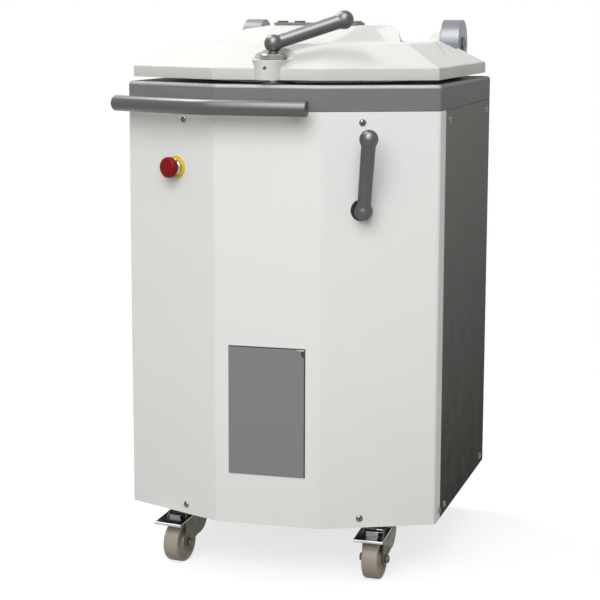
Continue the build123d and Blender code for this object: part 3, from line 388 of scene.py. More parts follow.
def metallic(name, colour, rough, metal=1.0, lines=(1.0, 1.0, 1.0), scratch=0.5, tarnish=0.2):
    """Bare metal: fine lines or grain in its roughness, and a little tarnish."""
    finish = Finish(name)
    line = finish.grain(420.0, 3.0, lines)
    cloud = finish.grain(26.0, 3.0)
    stain = finish.ramp(cloud, 0.45, 0.75) * tarnish
    body = finish.mix(line * scratch, shade(colour, 1.06), shade(colour, 0.88))
    return finish.done(
        colour=finish.mix(stain, body, shade(colour, 0.62)),
        rough=rough + (line - 0.5) * 0.14 + stain * 0.35,
        metal=metal,
        normal=finish.bump(line, 0.03, 0.0003),
    )


def spangled(name, colour, rough):
    """Zinc plate: pale crystals of slightly different shine."""
    finish = Finish(name)
    cells = finish.node("ShaderNodeTexVoronoi", None, {"Vector": finish.place, "Scale": 260.0}, "Color")
    tone = finish.node("ShaderNodeSeparateXYZ", None, {"Vector": cells})
    grime = finish.ramp(finish.grain(40.0, 4.0), 0.42, 0.78)
    body = finish.mix(tone * 0.5, shade(colour, 1.08), shade(colour, 0.86))
    return finish.done(
        colour=finish.mix(grime * 0.45, body, GRIME),
        rough=rough + tone * 0.10 + grime * 0.16,
        metal=0.45 - grime * 0.2,
        normal=finish.bump(finish.grain(300.0), 0.04, 0.0004),
    )


def nylon(name, colour):
    """Cast nylon wheel: mottled, with scuffs round the tread."""
    finish = Finish(name)
    mottle = finish.grain(60.0, 4.0)
    scuff = finish.ramp(finish.grain(240.0, 3.0), 0.55, 0.8)
    body = finish.mix(mottle, shade(colour, 1.10), shade(colour, 0.82))
    return finish.done(
        colour=finish.mix(scuff * 0.35, body, shade(colour, 0.55)),
        rough=0.48 + mottle * 0.15,
        normal=finish.bump(scuff + mottle * 0.4, 0.08, 0.0006),
    )


def make_finishes(colours):
    """Every finish, by the name of the record's slot or of the piece it is for."""
    c = colours
    return {
        "white_panel_paint": painted("panel_white", c.panel_white, 0.42, soil_and_shade=0.07, specular=0.15),
        "lid_white": moulded("lid_white", c.lid_white, 0.36, specular=0.04),
        "dark_grey_paint": painted("frame_grey", c.frame_grey, 0.45, **FRAME_COAT),
        # side panels: painted shade, darker towards the floor
        "side_grey_paint": painted(
            "side_grey", c.side_grey, 0.46, specular=0.0, soil_and_shade=0.90, top=0.95, dirt_and_shade=SIDE_PAINTED_SHADE
        ),
        "frame_paint": painted("base_black", c.base_black, 0.55),
        "bar_paint": painted("bar_grey", c.bar_grey, 0.32, peel=0.03, metal=0.5),
        "lever_alloy": metallic(
            "lever_silver", c.lever_silver, 0.38, metal=0.95, scratch=0.25, tarnish=0.12
        ),
        "bright_steel": metallic("bright_steel", c.bright_steel, 0.17, scratch=0.2, tarnish=0.1),
        "machined_steel": metallic("machined_steel", c.machined_steel, 0.22, lines=(1.0, 1.0, 0.05)),
        "stainless": metallic("stainless", c.stainless, 0.27, lines=(1.0, 1.0, 0.04)),
        "press_white": moulded("press_white", c.press_white, 0.40),
        "power_unit_paint": painted("unit_grey", c.unit_grey, 0.40, coat=0.2),
        "hose_rubber": moulded("hose_black", c.hose_black, 0.55),
        "black_plastic": moulded("plastic_black", c.plastic_black, 0.40),
        "stop_red": moulded("stop_red", c.stop_red, 0.34, specular=0.12),
        "stop_yellow": moulded("stop_yellow", c.stop_yellow, 0.38),
        "notice_grey": painted("notice_grey", c.notice_grey, 0.46, peel=0.02),
        # forks and plates: zinc colour with painted shade
        "zinc_plate": spangled("zinc_with_painted_shade", c.zinc_with_painted_shade, 0.34),
        "wheel_grey": nylon("wheel_nylon", c.wheel_nylon),
        # top frame finish with a painted highlight along its rounded edge
        "frame_edge_highlight": painted_edge_highlight("frame_edge_highlight", c.frame_grey, c.edge_highlight, *FRAME_EDGE_HIGHLIGHT),
        "knuckle_grey": metallic(
            "knuckle_grey", c.knuckle_grey, 0.36, metal=0.35, scratch=0.08, tarnish=0.05
        ),
        "dark_pin": metallic("pin_head", c.pin_dark, 0.24),
        "pedal_steel": metallic("pedal_steel", c.pedal_steel, 0.14),
        "lock_steel": metallic("lock_steel", c.lock_steel, 0.16, scratch=0.1, tarnish=0.0),
        "screw_steel": metallic("screw_steel", c.screw_steel, 0.10, scratch=0.1, tarnish=0.1),
        "plate_edge": painted("plate_edge", c.plate_edge, 0.45, peel=0.02),
        "plate_pale": painted("plate_pale", c.plate_pale, 0.45, peel=0.02),
    }


finishes = {}


# Mesh helpers, all in millimetres
def shift(x=0.0, y=0.0, z=0.0):
    return Matrix.Translation((x, y, z))


def spin(angle, axis):
    return Matrix.Rotation(angle, 4, axis)


def rows(bm, rings, closed=True):
    """Quads between rings of equally many vertices; a ring of one vertex is a pole."""
    for low, high in zip(rings, rings[1:]):
        count = max(len(low), len(high))
        for i in range(count if closed else count - 1):
            j = (i + 1) % count
            corners = [low[i % len(low)], low[j % len(low)], high[j % len(high)], high[i % len(high)]]
            unique = list(dict.fromkeys(corners))
            if len(unique) > 2:
                bm.faces.new(unique)


def lathe(bm, profile, place=Matrix(), steps=48, loop=False):
    """Surface turned round local Z through (radius, height) points."""
    rings = []
    for radius, height in profile:
        count = steps if radius > 1e-6 else 1
        angles = [2 * pi * i / count for i in range(count)]
        points = [Vector((radius * cos(a), radius * sin(a), height)) for a in angles]
        rings.append([bm.verts.new(place @ point) for point in points])
    rows(bm, rings + rings[:1] if loop else rings)


def slab(bm, outline, low, high, place=Matrix()):
    """Solid between two heights over a flat outline."""
    rings = [[bm.verts.new(place @ Vector((x, y, z))) for x, y in outline] for z in (low, high)]
    rows(bm, rings)
    for ring in rings:
        bm.faces.new(ring)


def arc(centre, radius, start, end, steps):
    """Points on an arc, angles in degrees."""
    angles = [radians(start + (end - start) * i / steps) for i in range(steps + 1)]
    return [(centre[0] + radius * cos(a), centre[1] + radius * sin(a)) for a in angles]


def soften(bm, width, steps=2, angle=SHARP):
    """Rounds the sharp edges of a clean mesh."""
    edges = [e for e in bm.edges if e.is_manifold and e.calc_face_angle(0.0) > angle]
    bmesh.ops.bevel(
        bm, geom=edges, offset=width, segments=steps, profile=0.5, affect="EDGES", clamp_overlap=True
    )


def close_up(bm):
    """Merges doubles and turns the faces outwards."""
    bmesh.ops.remove_doubles(bm, verts=bm.verts[:], dist=1e-4)
    bmesh.ops.recalc_face_normals(bm, faces=bm.faces[:])


def mark_edges(bm, angle=SHARP):
    """Smooth faces, with the sharp edges kept."""
    for face in bm.faces:
        face.smooth = True
    for edge in bm.edges:
        edge.smooth = edge.calc_face_angle(0.0) < angle


def to_object(bm, name):
    """A new object in metres from a mesh drawn in millimetres."""
    bmesh.ops.scale(bm, vec=(MM, MM, MM), verts=bm.verts[:])
    mesh = bpy.data.meshes.new(name)
    bm.to_mesh(mesh)
    bm.free()
    piece = bpy.data.objects.new(name, mesh)
    bpy.context.scene.collection.objects.link(piece)
    return piece


def settle(piece):
    """Turns a piece's modifiers into plain mesh."""
    depsgraph = bpy.context.evaluated_depsgraph_get()
    mesh = bpy.data.meshes.new_from_object(piece.evaluated_get(depsgraph))
    piece.modifiers.clear()
    piece.data = mesh


def even_shading(piece):
    """Keeps flat faces flat beside their rounded edges."""
    weights = piece.modifiers.new("even", "WEIGHTED_NORMAL")
    weights.keep_sharp = True
    settle(piece)


def fit(piece, body, slot, *nodes, finish=None):
    """Finish, body and the CAD nodes that a piece stands for."""
    piece.data.materials.clear()
    piece.data.materials.append(finishes[finish or slot])
    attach(piece, body)
    if nodes:
        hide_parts(*nodes)


def carve(piece, cutter):
    """Cuts one mesh out of another."""
    tool = piece.modifiers.new("cut", "BOOLEAN")
    tool.operation = "DIFFERENCE"
    tool.solver = "EXACT"
    tool.object = cutter
    settle(piece)
    bpy.data.objects.remove(cutter)


def reshade(piece, angle=SHARP):
    """Marks smooth faces and sharp edges on a finished piece."""
    bm = bmesh.new()
    bm.from_mesh(piece.data)
    mark_edges(bm, angle)
    bm.to_mesh(piece.data)
    bm.free()


def softened(name, node, width, body, slot, finish=None):
    """A copy of a CAD node with its sharp edges rounded, standing for that node."""
    bm = bmesh.new()
    bm.from_mesh(frame["nodes"][node].data)
    bmesh.ops.scale(bm, vec=(1 / MM, 1 / MM, 1 / MM), verts=bm.verts[:])
    bmesh.ops.remove_doubles(bm, verts=bm.verts[:], dist=0.004)
    bmesh.ops.dissolve_limit(
        bm, angle_limit=radians(0.3), verts=bm.verts[:], edges=bm.edges[:], delimit={"NORMAL"}
    )
    soften(bm, width, 3)
    mark_edges(bm, radians(40))
    piece = to_object(bm, name)
    even_shading(piece)
    fit(piece, body, slot, node, finish=finish)


def dress(bm, name, body, slot, *nodes, finish=None, angle=SHARP):
    """Closes and shades a drawn mesh and fits it as a piece."""
    close_up(bm)
    mark_edges(bm, angle)
    fit(to_object(bm, name), body, slot, *nodes, finish=finish)


def turned(name, profile, place, steps, *fitting, loop=False, **options):
    """A piece turned round local Z, fitted to a body, a slot and its node."""
    bm = bmesh.new()
    lathe(bm, profile, place, steps, loop)
    dress(bm, name, *fitting, **options)


def facet_frame(s, side, x, z, off=0.0):
    """Place on a slanted facet of the cabinet: local Y up, local Z out of the panel."""
    low, high = box_mm("front_panel")
    slant = atan2(s.facet_depth, high.x - s.fold_half)
    y = low.y + (abs(x) - s.fold_half) * tan(slant)
    out = Vector((side * sin(slant), -cos(slant), 0.0))
    along = Vector((cos(slant), side * sin(slant), 0.0))
    turned = Matrix((along, (0.0, 0.0, 1.0), out)).transposed().to_4x4()
    return Matrix.Translation(Vector((x, y, z)) + out * off) @ turned


def axis_frame(point, out):
    """Place with local Z along a direction."""
    return Matrix.Translation(point) @ Vector(out).to_track_quat("Z", "Y").to_matrix().to_4x4()


# Repeated fasteners
def fastener_tree():
    """Geometry Nodes tree that seats a fastener on every point, turned at random about its axis."""
    tree = bpy.data.node_groups.new("seat_fasteners", "GeometryNodeTree")
    for name, way, kind in (
        ("Seats", "INPUT", "Geometry"), ("Fastener", "INPUT", "Object"), ("Size", "INPUT", "Float"),
        ("Turn", "INPUT", "Float"), ("Seed", "INPUT", "Int"), ("Geometry", "OUTPUT", "Geometry"),
    ):
        tree.interface.new_socket(name=name, in_out=way, socket_type=f"NodeSocket{kind}")

    def add(kind, settings=None, **inputs):
        node = tree.nodes.new(kind)
        for key, value in (settings or {}).items():
            setattr(node, key, value)
        for key, value in inputs.items():
            socket = node.inputs[key.replace("_", " ")]
            if isinstance(value, bpy.types.NodeSocket):
                tree.links.new(value, socket)
            else:
                socket.default_value = value
        return node

    given = add("NodeGroupInput").outputs
    outward = add("GeometryNodeInputNamedAttribute", {"data_type": "FLOAT_VECTOR"}, Name="outward")
    lean = add("FunctionNodeAlignRotationToVector", {"axis": "Z"}, Vector=outward.outputs["Attribute"])
    chance = add("FunctionNodeRandomValue", {"data_type": "FLOAT"}, Seed=given["Seed"])
    tree.links.new(given["Turn"], next(i for i in chance.inputs if i.name == "Max" and i.type == "VALUE"))
    yaw = add("ShaderNodeCombineXYZ", Z=next(o for o in chance.outputs if o.type == "VALUE"))
    spun = add("FunctionNodeEulerToRotation", Euler=yaw.outputs[0])
    both = add(
        "FunctionNodeRotateRotation", {"rotation_space": "LOCAL"},
        Rotation=lean.outputs[0], Rotate_By=spun.outputs[0],
    )
    shape = add("GeometryNodeObjectInfo", Object=given["Fastener"])
    seated = add(
        "GeometryNodeInstanceOnPoints", Points=given["Seats"], Instance=shape.outputs["Geometry"],
        Rotation=both.outputs[0], Scale=given["Size"],
    )
    real = add("GeometryNodeRealizeInstances", Geometry=seated.outputs[0])
    add("NodeGroupOutput", Geometry=real.outputs[0])
    return tree


def fasteners(name, shape, seats, size, random_turn, seed):
    """One mesh with a fastener on every seat, each seat a point and an outward direction."""
    mesh = bpy.data.meshes.new(name)
    mesh.from_pydata([Vector(point) * MM for point, _ in seats], [], [])
    outward = mesh.attributes.new("outward", "FLOAT_VECTOR", "POINT")
    for value, (_, direction) in zip(outward.data, seats):
        value.vector = direction
    piece = bpy.data.objects.new(name, mesh)
    bpy.context.scene.collection.objects.link(piece)
    tree = bpy.data.node_groups.get("seat_fasteners") or fastener_tree()
    modifier = piece.modifiers.new("seats", "NODES")
    modifier.node_group = tree
    values = {"Fastener": shape, "Size": size, "Turn": random_turn, "Seed": seed}
    for item in tree.interface.items_tree:
        if item.in_out == "INPUT" and item.name in values:
            modifier[item.identifier] = values[item.name]
    settle(piece)
    bpy.data.objects.remove(shape)
    reshade(piece)
    return piece


# Lid
def soft_min(first, second, blend):
    """The lower of two heights, with a rounded change-over."""
    overlap = max(blend - abs(first - second), 0.0) / blend
    return min(first, second) - overlap * overlap * blend / 4


def soft_max(first, second, blend):
    return -soft_min(-first, -second, blend)


def graded(place, stations):
    """Value on a broken line through (place, value) points, held beyond its ends."""
    if place <= stations[0][0]:
        return stations[0][1]
    for (start, first), (end, second) in zip(stations, stations[1:]):
        if place <= end:
            return first + (second - first) * (place - start) / (end - start)
    return stations[-1][1]


def spread(low, high, steps, marks):
    """Sorted grid lines between two limits: (from, to, spacing) runs plus single marks."""
    lines = {round(low, 3), round(high, 3)}
    for start, end, gap in steps:
        count = max(1, round((end - start) / gap))
        lines |= {round(start + (end - start) * i / count, 3) for i in range(count + 1)}
    exact = sorted({round(m, 3) for m in marks if low <= m <= high} | {round(low, 3), round(high, 3)})
    kept = [line for line in lines if all(abs(line - m) > 0.45 or line == m for m in exact)]
    return sorted(set(kept) | set(exact))


class LidForm:
    """Heights of the lid's outer skin above its rim's upper edge."""

    def __init__(self, s, flank):
        low, high = box_mm("lid_shell")
        lock_low, lock_high = box_mm("lock_disc")
        self.s = s
        self.flank = tan(flank)
        self.bottom = low.z
        self.rim = low.z + s.rim_height
        self.half = high.x
        self.back = high.y
        self.lock = (lock_low.y + lock_high.y) / 2
        self.floor = lock_low.z - SEAT_GAP - self.rim
        self.front = self.lock - s.nose_lead - s.nose_radius + s.nose_reach
        self.corner = self.front + s.lid_corner
        slant = Vector((s.lid_corner, -(self.half - s.lid_fold))).normalized()
        roof_side = self.half - s.side_run
        roof_y = self.corner + s.roof_corner
        reach = slant.dot(Vector((self.half, self.corner))) - slant.dot(Vector((roof_side, roof_y)))
        self.edges = [
            (Vector((0.0, -1.0)), -self.front, s.front_run),
            (slant, slant.dot(Vector((self.half, self.corner))), reach),
            (Vector((1.0, 0.0)), self.half, s.side_run),
            (Vector((0.0, 1.0)), self.back, s.back_run),
        ]
        roof_front = self.front + s.front_run
        self.rim_points = [(s.lid_fold, self.front), (self.half, self.corner), (self.half, self.back)]
        roof_back = self.back - s.back_run
        self.roof_points = [(s.roof_fold, roof_front), (roof_side, roof_y), (roof_side, roof_back)]
        self.dent = [
            Vector((roof_side, s.dent_top)),
            Vector((self.half - DENT_TIP[0], DENT_TIP[1])),
            Vector((self.half - DENT_BACK[0], DENT_BACK[1])),
        ]
        self.dent_inner = roof_side - DENT_RUN
        self.hump_line = [
            (s.hump_foot, s.hump_foot_half), (s.hump_knee, s.hump_knee_half),
            (s.hump_top, s.hump_top_half), (s.hump_back, s.hump_back_half),
        ]
        self.spine_line = [
            (-s.spine_lead, s.spine_front_half), (s.spine_knee, s.spine_knee_half),
            (s.hump_top, s.hump_top_half),
        ]

    def inward(self, x, y):
        """Distance to the nearest rim edge, positive inside."""
        return min(limit - normal.dot(Vector((abs(x), y))) for normal, limit, _ in self.edges)

    def hipped(self, x, y):
        """Rim slopes and flat roof, with the dents ahead of the hinges."""
        s = self.s
        spot = Vector((x, y))
        skin = s.roof_rise
        for normal, limit, run in self.edges:
            skin = soft_min(skin, s.roof_rise * (limit - normal.dot(spot)) / run, HIP_BLEND)
        left, tip, right = self.dent
        from_left = min((spot - tip).cross((left - tip).normalized()), x - self.dent_inner) / DENT_RUN
        from_right = (right - tip).normalized().cross(spot - tip) / DENT_LIP
        return skin - s.dent_depth * max(0.0, min(from_left, from_right, 1.0))

    def mound(self, x, y):
        """Hump and spine above the flat roof."""
        s = self.s
        steep = (y - s.hump_foot) * s.hump_knee_rise / (s.hump_knee - s.hump_foot)
        rest = (s.hump_rise - s.hump_knee_rise) / (s.hump_top - s.hump_knee)
        ramp = soft_min(steep, s.hump_knee_rise + (y - s.hump_knee) * rest, BEND_BLEND)
        wall = (graded(y, self.hump_line) - x) * END_SLOPE
        ramp = soft_min(min(ramp, s.hump_rise), ramp + wall, END_BLEND)
        along = y + s.spine_lead
        climb = along * s.hump_rise / (s.spine_lead + s.spine_knee)
        crest = soft_min(min(climb, along), s.hump_rise, BEND_BLEND)
        spine = soft_min(crest, crest - (x - graded(y, self.spine_line)) * self.flank, END_BLEND)
        top = soft_max(ramp, min(spine, s.hump_rise + wall), RIDGE_BLEND)
        return soft_min(top, s.hump_rise * (1 - (y - s.hump_back) / s.hump_back_run), END_BLEND)

    def height(self, x, y):
        """The skin's height: hips, mound, scoop behind the lock and rounded rim."""
        s = self.s
        x = abs(x)
        skin = soft_max(self.hipped(x, y), s.roof_rise + self.mound(x, y), FOOT_BLEND)
        reach = hypot(x, y - self.lock) - s.scoop_radius
        if reach < SCOOP_REACH and skin > self.floor:
            bowl = self.floor - SCOOP_SINK + max(reach + SCOOP_FILLET, 0.0) ** 2 / SCOOP_FILLET
            skin = soft_min(skin, bowl + max(reach, 0.0) * SCOOP_SLOPE, SCOOP_BLEND)
        into = self.inward(x, y)
        if into < s.rim_round:
            gap = s.rim_round - max(into, 0.0)
            skin -= s.rim_round - sqrt(max(s.rim_round**2 - gap**2, 0.0))
        return skin


def face_up(bm):
    """Turns the faces of a sheet or shell upwards, taken together."""
    bmesh.ops.recalc_face_normals(bm, faces=bm.faces[:])
    if sum(face.normal.z * face.calc_area() for face in bm.faces) < 0:
        bmesh.ops.reverse_faces(bm, faces=bm.faces[:])


def lid_skin(s, form):
    """Outer skin of the lid as one sheet, with its upright rim and the notches for the hinges."""
    arm = box_mm("lid_hinge_arms")[1].x
    notch = (form.back - s.slot_depth, arm - s.arm_width - s.slot_gap, arm + s.slot_gap)
    xs = [form.half - e for e in RIM_LINES] + [form.roof_points[2][0] + p for p in FOLD_LINES]
    xs += [notch[1], notch[2], form.dent_inner]
    xs += [-x for x in xs]
    ys = [form.front + e for e in RIM_LINES] + [form.back - e for e in RIM_LINES] + [notch[0]]
    folds = [form.roof_points[0][1], form.roof_points[2][1], s.hump_foot, s.hump_knee, s.hump_top]
    folds += [s.hump_back, s.hump_back + s.hump_back_run, -s.spine_lead]
    ys += [place + p for place in folds for p in FOLD_LINES]
    near = s.scoop_radius + FINE_MARGIN
    xs = spread(-form.half, form.half, [(-form.half, form.half, COARSE), (-near, near, FINE)], xs)
    runs = [(form.front, form.back, COARSE), (form.front, form.lock + near, FINE)]
    ys = spread(form.front, form.back, runs, ys)
    bm = bmesh.new()
    grid = [[bm.verts.new((x, y, 0.0)) for x in xs] for y in ys]
    rows(bm, grid, closed=False)

    def cut(first, second, offsets, clear=False):
        for side in (-1, 1):
            a, b = (Vector((side * p[0], p[1], 0.0)) for p in (first, second))
            normal = (b - a).cross(Vector((0.0, 0.0, side))).normalized()
            for offset in offsets:
                geometry = bm.verts[:] + bm.edges[:] + bm.faces[:]
                bmesh.ops.bisect_plane(
                    bm, geom=geometry, dist=0.02, plane_co=a + normal * offset, plane_no=normal,
                    clear_outer=clear,
                )

    cut(form.rim_points[0], form.rim_points[1], (0.0,), clear=True)
    cut(form.rim_points[0], form.rim_points[1], [-e for e in RIM_LINES[1:]])
    for low, high in zip(form.rim_points, form.roof_points):
        cut(low, high, FOLD_LINES)
    cut(form.roof_points[0], form.roof_points[1], FOLD_LINES)
    for line in (form.hump_line, form.spine_line):
        for (low, first), (high, second) in zip(line, line[1:]):
            cut((first, low), (second, high), FOLD_LINES)
    cut(form.dent[1], form.dent[0], (0.0, -DENT_RUN))
    cut(form.dent[1], form.dent[2], (0.0, -DENT_LIP))

    def in_notch(face):
        middle = face.calc_center_median()
        return notch[1] < abs(middle.x) < notch[2] and middle.y > notch[0]

    bmesh.ops.delete(bm, geom=[f for f in bm.faces if in_notch(f)], context="FACES")
    for vert in bm.verts:
        vert.co.z = form.rim + form.height(vert.co.x, vert.co.y)
    bmesh.ops.remove_doubles(bm, verts=bm.verts[:], dist=0.01)
    face_up(bm)
    border = [edge for edge in bm.edges if edge.is_boundary]
    wall = bmesh.ops.extrude_edge_only(bm, edges=border)["geom"]
    for vert in wall:
        if isinstance(vert, bmesh.types.BMVert):
            vert.co.z = form.bottom
    face_up(bm)
    mark_edges(bm, radians(38))
    return bm


def nose_solid(s, form):
    """Round nose below the lock, widening back to the scoop, with its small hole."""
    centre = (0.0, form.lock - s.nose_lead)
    wide = s.scoop_radius - 0.6
    flank = [(s.nose_radius, centre[1]), (s.nose_radius + 1.2, centre[1] + 5)]
    flank += [(wide - 6.5, form.lock - 13), (wide, form.lock)]
    outline = arc(centre, s.nose_radius, 180, 360, 40)[1:-1] + flank
    outline += [(-x, y) for x, y in reversed(flank)]
    top = form.rim + form.floor
    bm = bmesh.new()
    rings = []
    flare = ((17, 0.0), (13, 0.1), (9, 0.28), (6, 0.5), (3, 0.78), (1, 0.97), (0, 1.0))
    for below, share in ((top - form.bottom, 0.0), *flare):
        wider = 1 + share * s.nose_flare / s.nose_radius
        ring = [(min(max(x * wider, -wide), wide), y) for x, y in outline]
        rings.append([bm.verts.new((x, y, top - below)) for x, y in ring])
    rows(bm, rings)
    bm.faces.new(rings[0])
    bm.faces.new(rings[-1])
    close_up(bm)
    nose = to_object(bm, "lid_nose")
    bm = bmesh.new()
    place = axis_frame((0.0, centre[1] - s.nose_radius - 2, form.rim), (0.0, 1.0, 0.0))
    lathe(bm, [(0, 0), (s.nose_hole, 0), (s.nose_hole, 14), (0, 14)], place, 24)
    close_up(bm)
    carve(nose, to_object(bm, "hole"))
    reshade(nose)
    return nose


class DIVIDER_OT_lid(bpy.types.Operator):
    """Moulded lid with its hipped roof, hump, spine, scoop and nose"""

    bl_idname = "divider.lid"
    bl_label = "Lid"

    def execute(self, context):
        s = sizes(context)
        form = LidForm(s, context.scene.divider_turns.spine_flank)
        shell = to_object(lid_skin(s, form), "lid_moulding")
        wall = shell.modifiers.new("wall", "SOLIDIFY")
        wall.thickness = s.lid_wall * MM
        wall.offset = -1.0
        settle(shell)
        nose = nose_solid(s, form)
        bm = bmesh.new()
        bm.from_mesh(shell.data)
        bm.from_mesh(nose.data)
        bm.to_mesh(shell.data)
        bm.free()
        bpy.data.objects.remove(nose)
        even_shading(shell)
        fit(shell, "lid", "lid_white", "lid_shell")
        return {"FINISHED"}


class DIVIDER_OT_lid_plate(bpy.types.Operator):
    """Plate on the hump with its hexagon bolts"""

    bl_idname = "divider.lid_plate"
    bl_label = "Hump plate"

    def execute(self, context):
        s = sizes(context)
        softened("hump_plate", "lid_top_plate", s.edge, "lid", "dark_grey_paint")
        low, high = box_mm("lid_top_bolts")
        top = box_mm("lid_top_plate")[1].z
        rise = high.z - top
        bm = bmesh.new()
        slab(bm, arc((0.0, 0.0), 1.0, 0, 300, 5), 0.0, rise / s.bolt_head)
        soften(bm, 0.10, 2)
        lathe(bm, [(0, 0), (0.98, 0), (0.98, 0.10), (0, 0.10)], steps=32)
        close_up(bm)
        far, flat = high.x - s.bolt_head, s.bolt_head * cos(radians(30))
        columns = (-far, -s.bolt_near, s.bolt_near, far)
        seats = [((x, y, top), UP) for x in columns for y in (low.y + flat, high.y - flat)]
        bolts = fasteners("hump_bolts", to_object(bm, "bolt"), seats, s.bolt_head, random_turn=1.0, seed=3)
        fit(bolts, "lid", "bright_steel", "lid_top_bolts", finish="dark_pin")
        return {"FINISHED"}


# Ball levers and lock
def ball_lever(bm, s, rise, place):
    """Ball lever with its hub on local Z over a seat at the origin, and its grip towards +X."""
    profile = []
    steps = 120
    low, high = -s.hub_radius, s.lever_length + s.grip_radius
    for i in range(steps + 1):
        t = low + (high - low) * (1 - cos(pi * i / steps)) / 2
        hub = sqrt(max(s.hub_radius**2 - t * t, 0.0))
        grip = sqrt(max(s.grip_radius**2 - (t - s.lever_length) ** 2, 0.0))
        radius = max(hub, grip)
        if 0 < t < s.lever_length:
            rod = s.rod_at_hub + (s.rod_at_grip - s.rod_at_hub) * t / s.lever_length
            if radius < s.grip_radius - ROD_CLEAR:
                radius = soft_max(radius, rod, ROD_BLEND)
            radius = max(radius, rod)
        profile.append((radius if 0 < i < steps else 0.0, t))
    lift = place @ shift(z=s.hub_height) @ spin(-rise, "Y") @ spin(pi / 2, "Y")
    lathe(bm, profile, lift, 56)
    r = s.neck_radius
    neck = [(0, 0), (r + 2.2, 0), (r + 2.2, 1.4), (r, 2.2), (r - 0.6, 6), (r, 12), (r + 1, 14), (0, 14)]
    lathe(bm, neck, place, 40)


class DIVIDER_OT_levers(bpy.types.Operator):
    """Ball levers of the lid lock and of the valve"""

    bl_idname = "divider.levers"
    bl_label = "Ball levers"

    def execute(self, context):
        s = sizes(context)
        turns = context.scene.divider_turns
        low, high = box_mm("lock_disc")
        lock = shift((low.x + high.x) / 2, (low.y + high.y) / 2, high.z) @ spin(turns.lock_turn, "Z")
        bush = sum(box_mm("control_bush"), Vector()) / 2
        seat = facet_frame(s, 1, LEVER_X, bush.z, BUSH_RISE) @ spin(pi / 2, "Z")
        for name, place, body, node in (
            ("lock_ball_lever", lock, "lid_lock", "lock_lever"),
            ("valve_ball_lever", seat, "control", "control_lever"),
        ):
            bm = bmesh.new()
            ball_lever(bm, s, turns.lever_rise, place)
            dress(bm, name, body, "lever_alloy", node)
        return {"FINISHED"}


class DIVIDER_OT_lock(bpy.types.Operator):
    """Steel disc under the lock lever"""

    bl_idname = "divider.lock"
    bl_label = "Lock disc"

    def execute(self, context):
        low, high = box_mm("lock_disc")
        r, rise = (high.x - low.x) / 2, high.z - low.z
        groove = [(r, rise * 0.42), (r - 0.8, rise * 0.46), (r - 0.8, rise * 0.54), (r, rise * 0.58)]
        profile = [(0, 0), (r - 1.2, 0), (r, 1.2), *groove, (r, rise - 1.4), (r - 1.4, rise)]
        profile += [(15.5, rise), (14.5, rise - 0.8), (0, rise - 0.8)]
        place = shift(0.0, (low.y + high.y) / 2, low.z)
        fitting = ("lid_lock", "machined_steel", "lock_disc")
        turned("lock_plate", profile, place, 72, *fitting, finish="lock_steel", angle=radians(25))
        return {"FINISHED"}


# Front fittings
class DIVIDER_OT_bar(bpy.types.Operator):
    """Bent hand bar with its plugged ends and standoffs"""

    bl_idname = "divider.bar"
    bl_label = "Hand bar"

    def execute(self, context):
        s = sizes(context)
        low, high = box_mm("grab_bar")
        panel_low, panel_high = box_mm("front_panel")
        slant = atan2(s.facet_depth, panel_high.x - s.fold_half)
        r = s.bar_radius
        line = low.y + r
        offset = panel_low.y - line
        level = (low.z + high.z) / 2
        fold = -(s.fold_half + offset * tan(slant / 2))
        reach = s.bar_bend * tan(slant / 2)
        tip_x = low.x + r * sin(slant)
        tip = (tip_x, line + (fold - tip_x) * tan(slant))
        bend = arc((fold + reach, line + s.bar_bend), s.bar_bend, -90, -90 - degrees(slant), 14)
        path = [Vector(point) for point in ((high.x, line), *bend, tip)]
        ways = [(after - before).normalized() for before, after in zip(path, path[1:])]
        plug = [(0.0, 0.5), (r - 4.2, 0.5), (r - 3.6, 1.6), (r - 3.0, 0.2), (r - 1.0, 0.0)]
        plug += [(r - 0.2, 0.6), (r, 1.8)]
        stations = [(radius, path[0] + ways[0] * away, ways[0]) for radius, away in plug]
        for point, before, after in zip(path[1:-1], ways, ways[1:]):
            stations.append((r, point, (after + before).normalized()))
        stations += [(radius, path[-1] - ways[-1] * away, ways[-1]) for radius, away in reversed(plug)]
        bm = bmesh.new()
        rings = []
        steps = 40
        for radius, point, ahead in stations:
            middle = Vector((point.x, point.y, level))
            out = Vector((-ahead.y, ahead.x, 0.0))
            angles = [2 * pi * i / steps for i in range(steps if radius else 1)]
            ring = [middle + out * (radius * cos(a)) + UP * (radius * sin(a)) for a in angles]
            rings.append([bm.verts.new(spot) for spot in ring])
        rows(bm, rings)
        right = axis_frame((high.x - STANDOFF_INSET, panel_low.y, level), (0.0, -1.0, 0.0))
        left = facet_frame(s, -1, tip_x + STANDOFF_INSET, level)
        end = offset - 4
        standoff = [(0, 0), (8.6, 0), (8.2, 1.0), (6.9, 2.2), (6.5, 4.0), (6.5, end), (0, end)]
        for seat in (right, left):
            lathe(bm, standoff, seat, 32)
        dress(bm, "hand_bar", "cabinet", "bar_paint", "grab_bar")
        return {"FINISHED"}


